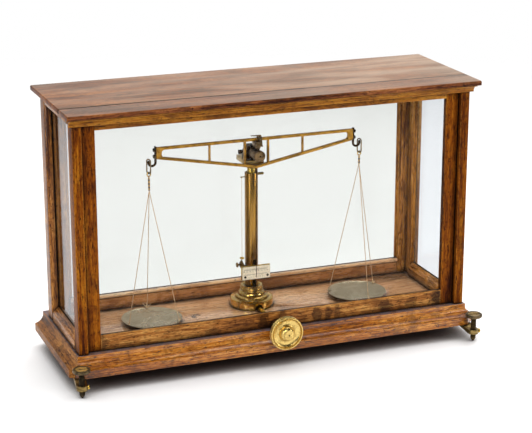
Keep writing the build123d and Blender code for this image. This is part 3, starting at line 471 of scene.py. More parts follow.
@dataclass(frozen=True)
class Wood:
    """Old polished wood with long fibres, open pores, worn arrises, and grime and painted shade in its
    corners.

    A board's seed shifts its pattern, so that no two boards look the same. The shares run from 0 to 1.
    """

    name: str
    grain: Grain
    dark: str = "#34140A"
    middle: str = "#8C480A"
    light: str = "#CC8420"
    wear: str = "#E09A42"
    grime: str = "#120805"
    # Tint of the sheen painted on upward faces.
    painted_sheen_tint: str = "#C8B09A"
    # Bluish tint of the ledge: partly dusted, partly a painted reflection.
    dust_and_reflection_tint: str = "#7E8290"
    seed: float = 0.0
    figure: float = 0.55
    gloss: float = 0.34
    sheen: float = 0.12
    coat: float = 0.0
    worn: float = 0.6
    dashes: float = 0.55
    dust_and_reflection: float = 0.0
    painted_sheen: float = 0.0
    stains: tuple[Stain, ...] = ()

    def place(self, r: Recipe, share: float = 1.0) -> bpy.types.NodeSocket:
        """The board's own coordinates, drawn out along its fibres.

        Args:
            r: the material's recipe.
            share: the scale left along the fibres, as a share of that across them.

        Returns:
            The socket that holds the coordinates, in pattern units of a millimetre.
        """
        shift = (7.3 * self.seed, 3.1 * self.seed, 5.7 * self.seed)
        return r.place(self.grain.stretch(share), shift)

    def fibres(self, r: Recipe) -> tuple[Value, Value, Value, Value]:
        """Lay the grain: long streaks, fine fibres, short dashes and open pores.

        Args:
            r: the material's recipe.

        Returns:
            The colour, the fine fibres, the dashes and the pores.
        """
        short = self.place(r, 0.15)
        broad = r.speckle(self.place(r, 0.20), 0.030, detail=3.0, rough=0.55, warp=0.6)
        streak = r.speckle(self.place(r, 0.045), 0.42, detail=4.0, rough=0.62, warp=0.5)
        fine = r.speckle(short, 0.9, detail=3.0, rough=0.66)
        tone = r.blend((broad, 0.34), (streak, 0.40), (fine, 0.26))
        reach = 0.16 - 0.10 * self.figure
        stops = [(0.5 - reach, tint(self.dark)), (0.5, tint(self.middle)), (0.5 + reach, tint(self.light))]
        wood = r.ramp(tone, stops)
        dash = r.span(r.speckle(short, 0.55, detail=3.0, rough=0.66, warp=0.3), 0.56, 0.63)
        wood = r.mix(r.times(dash, self.dashes), wood, tint(self.dark))
        pore = r.span(r.speckle(short, 1.0, detail=2.0, rough=0.6), 0.60, 0.66)
        wood = r.mix(r.times(pore, 0.85), wood, tint(self.grime))
        return wood, fine, dash, pore

    def marked(self, r: Recipe, around: Value, wood: Value) -> Value:
        """Darken the wood with blotches, specks and its own stains.

        Args:
            r: the material's recipe.
            around: the board's coordinates, the same in every direction.
            wood: the colour so far.

        Returns:
            The darkened colour.
        """
        blotch = r.span(r.speckle(around, 0.045, detail=4.0, rough=0.66, warp=0.5), 0.50, 0.66)
        wood = r.mix(r.times(blotch, 0.5), wood, tint(self.dark))
        specks = r.span(r.speckle(around, 0.42, detail=3.0, rough=0.66), 0.62, 0.68)
        wood = r.mix(r.times(specks, 0.85), wood, tint(self.grime))
        ragged = r.blend((r.speckle(around, 0.20, detail=4.0, rough=0.72, warp=0.8), 2.0), (1.0, -1.0))
        for stain in self.stains:
            mark = r.blot(stain.centre, stain.radii, ragged)
            wood = r.mix(r.times(mark, stain.depth), wood, tint(self.grime))
        return wood

    def handled(self, r: Recipe, around: Value, wood: Value) -> tuple[Value, Value, Value]:
        """Rub and knock the arrises, and darken where things meet with grime and painted shade.

        Args:
            r: the material's recipe.
            around: the board's coordinates, the same in every direction.
            wood: the colour so far.

        Returns:
            The colour, the rubbed places and the places darkened by grime and painted shade.
        """
        arris = r.edge(1.9)
        chipped = r.span(r.speckle(around, 0.20, detail=4.0, rough=0.7), 0.36, 0.54)
        rubbed = r.times(arris, chipped, self.worn)
        wood = r.mix(rubbed, wood, tint(self.wear))
        knocked = r.times(arris, r.span(r.speckle(around, 0.27, detail=3.0, rough=0.6, warp=0.4), 0.56, 0.64))
        wood = r.mix(r.times(knocked, 0.8), wood, tint(self.grime))
        # Painted shade mixed with grime: nook() darkens corners and the places between parts, broken up by
        # patchy noise.
        dirt_and_shade = r.times(r.nook(9.0), r.span(r.speckle(around, 0.12, detail=3.0), 0.25, 0.7, (0.5, 1.0)))
        wood = r.mix(r.times(dirt_and_shade, 0.92), wood, tint(self.grime))
        return wood, rubbed, dirt_and_shade

    def with_painted_sheen(self, r: Recipe, wood: Value) -> Value:
        """Paint a sheen on the upper face, patchy and stronger towards the right.

        Args:
            r: the material's recipe.
            wood: the colour so far.

        Returns:
            The bleached colour.
        """
        cloud = r.speckle(self.place(r, 0.20), 0.05, detail=3.0, warp=0.5)
        patchy = r.span(cloud, 0.32, 0.68, (0.5, 1.0))
        rightwards = r.span(r.part(r.where, "X"), -220 * MM, 200 * MM, (0.5, 1.0))
        # Painted sheen: a pale tint laid on upward faces, growing towards the right.
        return r.mix(r.times(patchy, rightwards, r.upward(), self.painted_sheen), wood, tint(self.painted_sheen_tint))

    def with_dust_and_reflection(self, r: Recipe, around: Value, wood: Value) -> Value:
        """Tint the ledge of the plinth bluish grey, partly dusted and partly a painted reflection.

        Args:
            r: the material's recipe.
            around: the board's coordinates, the same in every direction.
            wood: the colour so far.

        Returns:
            The dusty colour.
        """
        ledge = r.span(r.part(r.where, "Z"), 30.0 * MM, 34.5 * MM)
        patchy = r.span(r.speckle(around, 0.15, detail=3.0, rough=0.6), 0.3, 0.62, (0.35, 1.0))
        # Partly dusted, partly painted reflection: a bluish tint on the upward faces of the ledge.
        return r.mix(r.times(patchy, r.upward(), ledge, self.dust_and_reflection), wood, tint(self.dust_and_reflection_tint))

    def build(self) -> bpy.types.Material:
        """Make the material.

        Returns:
            The finished material, named after the board.
        """
        r = Recipe(self.name)
        around = self.place(r)
        wood, fine, dash, pore = self.fibres(r)
        wood = self.marked(r, around, wood)
        wood, rubbed, dirt_and_shade = self.handled(r, around, wood)
        if self.painted_sheen:
            wood = self.with_painted_sheen(r, wood)
        if self.dust_and_reflection:
            wood = self.with_dust_and_reflection(r, around, wood)
        # Painted shade: narrow gaps and creases are darkened where neighbours close in.
        painted_gap_shade = r.span(r.nook(3.0), 0.25, 0.8)
        wood = r.mix(r.times(painted_gap_shade, 0.85), wood, tint(self.grime))
        rough = r.blend((fine, 0.24), (rubbed, 0.14), (dirt_and_shade, 0.22), (pore, 0.10))
        rough = r.sum("ADD", rough, self.gloss - 0.12, clamp=True)
        dents = r.speckle(around, 0.09, detail=3.0)
        normal = r.relief(dents, 0.32, 0.5)
        normal = r.relief(r.blend((fine, 1.0), (pore, -1.0), (dash, -0.6)), 0.45, 0.16, normal)
        r.surface(Base_Color=wood, Roughness=rough, Normal=normal)
        r.surface(Specular_IOR_Level=self.sheen, Coat_Weight=self.coat, Coat_Roughness=0.12)
        return r.material


class Turning(Enum):
    """Axis round which a metal piece was turned, or none."""

    NONE = ""
    LATHE_Y = "Y"
    LATHE_Z = "Z"


@dataclass(frozen=True)
class Metal:
    """Metal with tarnish clouds, dull corners, rubbed edges, scratches and fine tool lines.

    The hub is a point on the axis that the piece was turned about, in millimetres, and the run draws the
    clouds out along an axis. The crown is the share of an upper face that hands have rubbed bright.
    """

    name: str
    bright: str
    dull: str
    rough: float = 0.22
    tarnish: float = 0.35
    spots: float = 0.3
    rubbed: float = 0.5
    metallic: float = 1.0
    tool: Turning = Turning.NONE
    hub: Point = (0.0, 0.0, 0.0)
    grime: str = "#1C130A"
    cloud: float = 0.12
    run: Point = (1.0, 1.0, 1.0)
    scratches: float = 0.3
    crown: float = 0.0
    crown_colour: str = "#E6BC66"
    crown_radius: float = 5.6

    def crowned(self, r: Recipe, around: Value, skin: Value) -> Value:
        """Brighten the middle of the upper face, where fingers turn it.

        Args:
            r: the material's recipe.
            around: the piece's coordinates.
            skin: the colour so far.

        Returns:
            The brightened colour.
        """
        away = r.part(r.round_axis("Z", self.hub), "X")
        inner = r.span(away, self.crown_radius + 0.8, self.crown_radius)
        patchy = r.span(r.speckle(around, 0.35, detail=3.0, rough=0.6), 0.34, 0.5)
        touched = r.times(r.upward(0.6, 0.9), patchy, inner, self.crown)
        return r.mix(touched, skin, tint(self.crown_colour))

    def scored(self, r: Recipe) -> bpy.types.NodeSocket:
        """Long scratches that run two ways.

        Args:
            r: the material's recipe.

        Returns:
            The socket that holds their share, from 0 between them.
        """
        cuts = r.speckle(r.place((260.0, 4200.0, 260.0), turn=(0.5, 0.3, 0.7)), 1.0)
        other = r.speckle(r.place((4200.0, 240.0, 240.0), turn=(0.2, 0.9, 0.4)), 1.0)
        return r.span(r.sum("MAXIMUM", cuts, other), 0.66, 0.72)

    def tooled(self, r: Recipe, around: Value) -> bpy.types.NodeSocket:
        """Bumps of the lathe's lines, or of a plain ground finish.

        Args:
            r: the material's recipe.
            around: the piece's coordinates.

        Returns:
            The socket that holds the bumped normal.
        """
        if self.tool is Turning.NONE:
            return r.relief(r.speckle(around, 2.2, detail=3.0, rough=0.6), 0.10, 0.05)
        return r.relief(r.speckle(r.round_axis(self.tool.value, self.hub), 4.5, rough=0.6), 0.45, 0.05)

    def build(self) -> bpy.types.Material:
        """Make the material.

        Returns:
            The finished material, named after the finish.
        """
        r = Recipe(self.name)
        around = r.place(PER_MM)
        drawn = r.place(tuple(whole * share for whole, share in zip(PER_MM, self.run)))
        clouds = r.span(r.speckle(drawn, self.cloud, detail=4.0, rough=0.62, warp=0.4), 0.40, 0.64)
        tarnished = r.times(clouds, self.tarnish)
        skin = r.mix(tarnished, tint(self.bright), tint(self.dull))
        flecks = r.span(r.speckle(around, 0.9, detail=3.0, rough=0.6), 0.60, 0.70)
        skin = r.mix(r.times(flecks, self.spots), skin, tint(self.grime))
        nook = r.nook(3.0)
        skin = r.mix(r.times(nook, 0.8), skin, tint(self.grime))
        if self.crown:
            skin = self.crowned(r, around, skin)
        arris = r.times(r.edge(0.5), r.span(r.speckle(around, 0.6), 0.35, 0.6), self.rubbed)
        skin = r.mix(arris, skin, tint(self.bright))
        scored = self.scored(r)
        marks = ((tarnished, 0.30), (flecks, 0.25 * self.spots), (nook, 0.25), (scored, 0.2 * self.scratches))
        rough = r.sum("ADD", r.blend(*marks), self.rough, clamp=True)
        normal = r.relief(scored, 0.4 * self.scratches, 0.05, self.tooled(r, around))
        normal = r.relief(r.speckle(around, 0.25), 0.10, 0.25, normal)
        r.surface(Base_Color=skin, Metallic=self.metallic, Roughness=rough, Normal=normal)
        return r.material


@dataclass(frozen=True)
class PaneGlass:
    """Clear old window glass that lets the lamps through."""

    name: str = "pane_glass"
    body: str = "#F8FAF9"
    through: str = "#F6FAF9"
    bend: float = 1.12

    def build(self) -> bpy.types.Material:
        """Make the material, faintly waved, with shadows that pass through it.

        Returns:
            The finished material.
        """
        r = Recipe(self.name)
        waves = r.relief(r.speckle(r.place(PER_MM), 0.02, detail=1.0), 0.05, 0.6)
        r.surface(Base_Color=tint(self.body), Roughness=0.0, IOR=self.bend, Normal=waves)
        r.surface(Transmission_Weight=1.0)
        clear = r.add("ShaderNodeBsdfTransparent")
        r.put(clear, "Color", tint(self.through))
        lit = r.add("ShaderNodeLightPath")
        both = r.add("ShaderNodeMixShader")
        r.put(both, 0, lit.outputs["Is Shadow Ray"])
        r.put(both, 1, r.shader.outputs[0])
        r.put(both, 2, clear.outputs[0])
        r.put(r.output, 0, both.outputs[0])
        return r.material


@dataclass(frozen=True)
class Ivory:
    """Old cream plate with a fine grain, yellowed at its edges."""

    name: str = "ivory"
    pale: str = "#F2E2CC"
    lined: str = "#D6C0A2"
    yellowed: str = "#B79C78"
    rim: str = "#7C6040"

    def build(self) -> bpy.types.Material:
        """Make the material.

        Returns:
            The finished material.
        """
        r = Recipe(self.name)
        lines = r.speckle(r.place((3500.0, 600.0, 300.0)), 1.0, detail=3.0, rough=0.6)
        body = r.mix(r.span(lines, 0.35, 0.7), tint(self.pale), tint(self.lined))
        clouds = r.speckle(r.place(PER_MM), 0.25, detail=3.0)
        body = r.mix(r.span(clouds, 0.5, 0.8, (0.0, 0.5)), body, tint(self.yellowed))
        body = r.mix(r.times(r.edge(0.6), 0.55), body, tint(self.rim))
        r.surface(Base_Color=body, Roughness=0.38, Normal=r.relief(lines, 0.1, 0.05))
        return r.material


@dataclass(frozen=True)
class Silk:
    """Twisted silk thread with a soft sheen, or a whipping of it in two colours."""

    name: str = "silk"
    pale: str = "#DCB98E"
    deep: str = "#9C6E44"
    whipped: bool = False

    def bound(self, r: Recipe) -> tuple[Value, Value]:
        """The colour and the bumps of a whipping, wound in turns.

        Args:
            r: the material's recipe.

        Returns:
            The colour and the bumped normal.
        """
        twist = r.bands(r.place(PER_MM), 0.085, 1.0, "Z")
        body = r.mix(r.span(twist, 0.42, 0.58), tint(self.deep), tint(self.pale))
        return body, r.relief(r.bands(r.place(PER_MM), 0.8, 0.3, "Z"), 0.6, 0.15)

    def twisted(self, r: Recipe) -> tuple[Value, Value]:
        """The colour and the bumps of a thread, twisted of strands.

        Args:
            r: the material's recipe.

        Returns:
            The colour and the bumped normal.
        """
        twist = r.bands(r.place((900.0, 900.0, 1500.0)), 0.6, 0.3, "DIAGONAL")
        body = r.mix(r.span(twist, 0.2, 0.9), tint(self.deep), tint(self.pale))
        patches = r.speckle(r.place((200.0, 200.0, 200.0)), 1.0)
        body = r.mix(r.span(patches, 0.45, 0.75, (0.0, 0.35)), body, tint(self.deep))
        return body, r.relief(twist, 0.3, 0.05)

    def build(self) -> bpy.types.Material:
        """Make the material.

        Returns:
            The finished material.
        """
        r = Recipe(self.name)
        body, normal = self.bound(r) if self.whipped else self.twisted(r)
        r.surface(Base_Color=body, Roughness=0.62, Sheen_Weight=0.3, Normal=normal)
        return r.material


@dataclass(frozen=True)
class Ink:
    """Dark filling of the engraved lines, or of a joint, where it is old glue together with painted shade."""

    name: str = "scale_ink"
    dark: str = "#3A3024"
    pale: str = "#6E5E4A"

    def build(self) -> bpy.types.Material:
        """Make the material.

        Returns:
            The finished material.
        """
        r = Recipe(self.name)
        worn = r.speckle(r.place(PER_MM), 0.9, detail=3.0)
        body = r.mix(r.span(worn, 0.4, 0.7), tint(self.dark), tint(self.pale))
        r.surface(Base_Color=body, Roughness=0.6, Normal=r.relief(worn, 0.2, 0.05))
        return r.material


Finish = Union[Wood, Metal, PaneGlass, Ivory, Silk, Ink]


class Finishes:
    """Every material of the balance, made once each."""

    def __init__(self) -> None:
        """Start with an empty shelf."""
        self.shelf: dict[str, bpy.types.Material] = {}

    def get(self, finish: Finish) -> bpy.types.Material:
        """The material of a finish, made the first time that it is asked for.

        Args:
            finish: the finish.

        Returns:
            Its material.
        """
        if finish.name not in self.shelf:
            self.shelf[finish.name] = finish.build()
        return self.shelf[finish.name]


BRASS = Metal("bright_brass", "#E6BE58", "#A4803A", rough=0.16, tarnish=0.5, spots=0.3)
POLISHED = replace(
    BRASS,
    name="polished_brass",
    bright="#E0B866",
    dull="#7A5A32",
    rough=0.14,
    tool=Turning.LATHE_Z,
    hub=COLUMN_AXIS,
)
LACQUERED = Metal("lacquered_brass", "#AE7E32", "#6A4A1C", rough=0.30, tarnish=0.65, spots=0.25)
TUBE = replace(
    LACQUERED,
    name="column_brass",
    bright="#A87C38",
    dull="#563A16",
    rough=0.22,
    tarnish=0.8,
    cloud=0.30,
    run=(1.0, 1.0, 0.03),
    tool=Turning.LATHE_Z,
    hub=COLUMN_AXIS,
)
AGED = Metal("aged_brass", "#9A8250", "#4A3C24", rough=0.34, tarnish=0.85, spots=0.6)
BLACKENED = Metal("blackened_brass", "#4E4434", "#1E1914", rough=0.34, tarnish=0.8, spots=0.5, rubbed=0.7)
STEEL = Metal("dark_steel", "#46321F", "#160E08", rough=0.32, tarnish=0.85, spots=0.5, rubbed=0.8)
WORN_STEEL = Metal("worn_steel", "#866A48", "#2E2016", rough=0.30, tarnish=0.7, spots=0.4, rubbed=0.8)
LINK_STEEL = replace(WORN_STEEL, name="link_steel", bright="#9C8668", dull="#4E3C2C")
PAN = Metal(
    "pan_metal", "#B8A88C", "#9E9078", rough=0.26, tarnish=0.8, spots=0.15, cloud=0.035, metallic=0.85
)


class Bench:
    """Ways to shape pieces that all the sub-assemblies share."""

    def __init__(self, finishes: Finishes) -> None:
        """Keep the shelf of finishes at hand."""
        self.finishes = finishes

    def dress(self, name: str, finish: Finish) -> None:
        """Give a CAD node that keeps its mesh a better material.

        Args:
            name: the node.
            finish: its new finish.
        """
        material = self.finishes.get(finish)
        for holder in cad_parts[name].material_slots:
            holder.material = material
        log.info("dressed %s with %s", name, finish.name)

    def settle(
        self,
        shape: Shape,
        name: str,
        finish: Finish,
        body: str,
        slot: str,
        stands_for: Iterable[str] = (),
        crease: float = 35.0,
    ) -> bpy.types.Object:
        """Turn a finished shape, in metres, into a piece that rides on a body.

        Args:
            shape: the shape, which is freed.
            name: the piece's name.
            finish: its finish.
            body: the CAD body that it rides on.
            slot: the record's material slot; not used.
            stands_for: the CAD nodes that it replaces.
            crease: the angle in degrees past which an edge shades sharp.

        Returns:
            The new object.
        """
        mesh = bpy.data.meshes.new(name)
        shape.to_mesh(mesh)
        shape.free()
        mesh.shade_smooth()
        mesh.set_sharp_from_angle(angle=math.radians(crease))
        mesh.materials.append(self.finishes.get(finish))
        piece = bpy.data.objects.new(name, mesh)
        bpy.context.scene.collection.objects.link(piece)
        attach(piece, body)
        if stands_for:
            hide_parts(*stands_for)
        log.info("made %s on %s, %d faces", name, body, len(mesh.polygons))
        return piece

    def eased_copy(self, node: str, radius: float, angle: float = 30.0, segments: int = 2) -> Shape:
        """A merged copy of a CAD node with its edges eased.

        Args:
            node: the CAD node.
            radius: the width of the eased edge in millimetres.
            angle: edges that fold more than this many degrees are eased.
            segments: the steps across the eased edge.

        Returns:
            The shape in metres.
        """
        shape = bmesh.new()
        shape.from_mesh(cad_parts[node].data)
        bmesh.ops.remove_doubles(shape, verts=shape.verts, dist=0.002 * MM)
        bmesh.ops.dissolve_limit(
            shape, angle_limit=math.radians(0.4), verts=shape.verts, edges=shape.edges
        )
        if radius > 0:
            self.ease(shape, radius, angle, segments)
        return shape

    def ease(self, shape: Shape, radius: float, angle: float, segments: int = 2) -> None:
        """Bevel the sharp edges of a shape.

        Args:
            shape: the shape.
            radius: the width of the eased edge in millimetres.
            angle: edges that fold more than this many degrees are eased.
            segments: the steps across the eased edge.
        """
        limit = math.radians(angle)
        sharp = [e for e in shape.edges if len(e.link_faces) == 2 and e.calc_face_angle(0.0) > limit]
        if sharp:
            bmesh.ops.bevel(
                shape,
                geom=sharp,
                offset=radius * MM,
                offset_type="OFFSET",
                affect="EDGES",
                segments=segments,
                profile=0.5,
                clamp_overlap=True,
                material=-1,
            )

    def keep_side(self, shape: Shape, at: Point, towards: Point) -> Shape:
        """Cut a shape at a plane and keep one side of it.

        Args:
            shape: the shape.
            at: a point on the plane in millimetres.
            towards: the direction in which the kept side lies.

        Returns:
            The same shape, closed at the cut.
        """
        geometry = list(shape.verts) + list(shape.edges) + list(shape.faces)
        bmesh.ops.bisect_plane(
            shape, geom=geometry, plane_co=Vector(at) * MM, plane_no=Vector(towards), clear_inner=True
        )
        rims = [edge for edge in shape.edges if edge.is_boundary]
        bmesh.ops.holes_fill(shape, edges=rims, sides=0)
        return shape

    def lathe(self, outline: Sequence[tuple[float, float]], steps: int) -> Shape:
        """A shape turned about Z.

        Args:
            outline: its outline of radius and height in millimetres, from end to end.
            steps: the sections round it.

        Returns:
            The shape in metres.
        """
        shape = bmesh.new()
        verts = [shape.verts.new((radius * MM, 0, height * MM)) for radius, height in outline]
        edges = [shape.edges.new(pair) for pair in zip(verts, verts[1:])]
        self.spin_round(shape, verts, edges, steps)
        return shape

    def spin_round(
        self,
        shape: Shape,
        verts: Sequence[bmesh.types.BMVert],
        edges: Sequence[bmesh.types.BMEdge],
        steps: int,
    ) -> None:
        """Turn a line of edges right round the Z axis and close what it makes.

        Args:
            shape: the shape that holds them.
            verts: the line's vertices.
            edges: the line's edges.
            steps: the sections round it.
        """
        bmesh.ops.spin(
            shape,
            geom=list(verts) + list(edges),
            cent=(0, 0, 0),
            axis=(0, 0, 1),
            angle=2 * math.pi,
            steps=steps,
            use_merge=True,
            use_duplicate=False,
        )
        bmesh.ops.remove_doubles(shape, verts=shape.verts, dist=0.001 * MM)
        bmesh.ops.recalc_face_normals(shape, faces=shape.faces)

    def move(self, shape: Shape, to: Point, turn: Matrix = Matrix.Identity(4)) -> Shape:
        """Turn a shape about the origin, then move it.

        Args:
            shape: the shape.
            to: the place that its origin goes to, in millimetres.
            turn: the turn.

        Returns:
            The same shape.
        """
        matrix = Matrix.Translation(Vector(to) * MM) @ turn
        bmesh.ops.transform(shape, matrix=matrix, verts=shape.verts)
        return shape

    def facing(self, axis: Point) -> Matrix:
        """The turn that lays a shape's Z axis along a level axis and keeps its Y axis upright.

        Args:
            axis: the level axis.

        Returns:
            The turn.
        """
        across = Vector(axis).normalized()
        upright = Vector((0, 0, 1))
        return Matrix((upright.cross(across), upright, across)).transposed().to_4x4()

    def ring(
        self, centre: Point, axis: Point, radius: float, wire: float, length: float = 0.0, steps: int = 48
    ) -> Shape:
        """A wire ring, or a long link where its sides have a length.

        Args:
            centre: its middle in millimetres.
            axis: the level direction that it faces.
            radius: the radius of the wire's middle line.
            wire: the wire's radius.
            length: the length of its straight sides.
            steps: the sections round it.

        Returns:
            The shape in metres.
        """
        shape = bmesh.new()
        upright = Matrix.Translation((radius * MM, 0, 0)) @ Matrix.Rotation(math.pi / 2, 4, "X")
        section = bmesh.ops.create_circle(shape, segments=14, radius=wire * MM, matrix=upright)["verts"]
        self.spin_round(shape, section, list(shape.edges), steps)
        half = {side: [v for v in shape.verts if v.co.y * side > 1e-7] for side in (-1, 1)}
        for side, verts in half.items():
            bmesh.ops.translate(shape, vec=(0, side * length / 2 * MM, 0), verts=verts)
        return self.move(shape, centre, self.facing(axis))

    def rod(self, shape: Shape, start: Point, end: Point, radius: float, tip: Optional[float] = None) -> None:
        """Add a round rod between two points.

        Args:
            shape: the shape that it is added to.
            start: where it starts, in millimetres.
            end: where it ends, in millimetres.
            radius: its radius.
            tip: its radius at the end, where it tapers.
        """
        run = Vector(end) - Vector(start)
        turn = Vector((0, 0, 1)).rotation_difference(run).to_matrix().to_4x4()
        bmesh.ops.create_cone(
            shape,
            cap_ends=True,
            segments=20,
            radius1=radius * MM,
            radius2=(radius if tip is None else tip) * MM,
            depth=run.length * MM,
            matrix=Matrix.Translation((Vector(start) + run / 2) * MM) @ turn,
        )

    def weld(self, whole: Shape, part: Shape) -> None:
        """Add another shape to a shape.

        Args:
            whole: the shape that grows.
            part: the other shape, which is freed.
        """
        mesh = bpy.data.meshes.new("part")
        part.to_mesh(mesh)
        part.free()
        whole.from_mesh(mesh)
        bpy.data.meshes.remove(mesh)

    def block(self, shape: Shape, low: Point, high: Point) -> None:
        """Add a block.

        Args:
            shape: the shape that it is added to.
            low: its lowest corner in millimetres.
            high: its highest corner in millimetres.
        """
        size = [(b - a) * MM for a, b in zip(low, high)]
        middle = Vector([(a + b) / 2 * MM for a, b in zip(low, high)])
        matrix = Matrix.Translation(middle) @ Matrix.Diagonal((*size, 1.0))
        bmesh.ops.create_cube(shape, size=1.0, matrix=matrix)

    def digits(self, shape: Shape, body: str, size: float, at: Point) -> None:
        """Add a number that stands upright and faces the front.

        Args:
            shape: the shape that it is added to.
            body: the number.
            size: its size in millimetres.
            at: its centre in millimetres.
        """
        curve = bpy.data.curves.new("digits", "FONT")
        curve.body = body
        curve.size = size * MM
        curve.extrude = 0.05 * MM
        curve.align_x = "CENTER"
        curve.align_y = "CENTER"
        curve.resolution_u = 4
        holder = bpy.data.objects.new("digits", curve)
        mesh = bpy.data.meshes.new_from_object(holder)
        mesh.transform(Matrix.Translation(Vector(at) * MM) @ Matrix.Rotation(math.pi / 2, 4, "X"))
        shape.from_mesh(mesh)
        bpy.data.meshes.remove(mesh)
        bpy.data.objects.remove(holder)
        bpy.data.curves.remove(curve)


@dataclass
class Cordage:
    """Silk threads of both pans and the plumb line, each a free cord of its own."""

    hang_half: float = 115.6
    pan_rim: float = 41.6
    hole_radius: float = 29.9
    thread_radius: float = 0.36
    left_apex: float = 177.5
    right_apex: float = 183.0
    left_angles: tuple[float, ...] = (82.0, 202.0, 322.0)
    right_angles: tuple[float, ...] = (30.0, 150.0, 270.0)
    knot: float = 0.8
    plumb_x: float = -10.6
    plumb_head: float = 176.15
    bob_top: float = 89.8
    plumb_radius: float = 0.2

    def line(
        self, name: str, points: Sequence[Point], radius: float, silk: bpy.types.Material
    ) -> bpy.types.Object:
        """A smooth line of silk through control points.

        Args:
            name: the piece's name.
            points: its control points in millimetres.
            radius: its radius in millimetres.
            silk: its material.

        Returns:
            The curve object.
        """
        curve = bpy.data.curves.new(name, "CURVE")
        curve.dimensions = "3D"
        curve.bevel_depth = radius * MM
        curve.bevel_resolution = 4
        curve.resolution_u = 12
        curve.use_fill_caps = True
        spline = curve.splines.new("NURBS")
        spline.points.add(len(points) - 1)
        for target, point in zip(spline.points, points):
            target.co = (*(Vector(point) * MM), 1.0)
        spline.order_u = 3
        spline.use_endpoint_u = True
        curve.materials.append(silk)
        piece = bpy.data.objects.new(name, curve)
        bpy.context.scene.collection.objects.link(piece)
        return piece

    def sides(self) -> tuple[tuple[float, str, float, tuple[float, ...]], ...]:
        """What sets the two hangers apart.

        Returns:
            Each hanger's place along the beam, its name, the height of its apex and its threads' angles.
        """
        return (
            (-self.hang_half, "left", self.left_apex, self.left_angles),
            (self.hang_half, "right", self.right_apex, self.right_angles),
        )

    def pan_threads(self, bench: Bench) -> None:
        """String the six pan threads.

        Args:
            bench: the shared ways to shape pieces.
        """
        silk = bench.finishes.get(Silk())
        for x, name, apex, angles in self.sides():
            for number, angle in enumerate(angles):
                turn = math.radians(angle)
                out = (math.cos(turn), math.sin(turn))
                start = (x, BEAM_Y, apex + self.knot)
                foot = (x + self.hole_radius * out[0], BEAM_Y + self.hole_radius * out[1], self.pan_rim)
                fall = Vector(foot) - Vector(start)
                near = Vector(start) + 0.03 * fall + Vector((-0.25 * out[0], -0.25 * out[1], -0.4))
                middle = Vector(start) + 0.5 * fall
                points = [start, tuple(near), tuple(middle), foot]
                piece = self.line(f"thread_{name}_{number + 1}", points, self.thread_radius, silk)
                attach(piece, f"pan_group_{name}")
                if number == 0:
                    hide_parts(f"threads_{name}")
                log.info("strung %s", piece.name)

    def plumb_line(self, bench: Bench) -> None:
        """Hang the plumb bob on its line.

        Args:
            bench: the shared ways to shape pieces.
        """
        bob = bench.eased_copy("plumb_bob", 0.12)
        brass = replace(BRASS, name="brass_bob", tool=Turning.LATHE_Z, hub=(self.plumb_x, COLUMN_Y, 0.0))
        weight = bench.settle(bob, "metal_plumb_bob", brass, "plumb", "bright_brass", ["plumb_bob"])
        length = self.plumb_head - self.bob_top
        heights = [self.plumb_head - share * length for share in (0.0, 0.33, 0.67, 1.0)]
        points = [(self.plumb_x, COLUMN_Y, height) for height in heights]
        piece = self.line("plumb_thread", points, self.plumb_radius, bench.finishes.get(Silk()))
        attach(piece, "plumb")
        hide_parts("plumb_line")
        log.info("strung %s", piece.name)

    def make(self, bench: Bench) -> None:
        """Make every cord of the balance."""
        self.pan_threads(bench)
        self.plumb_line(bench)


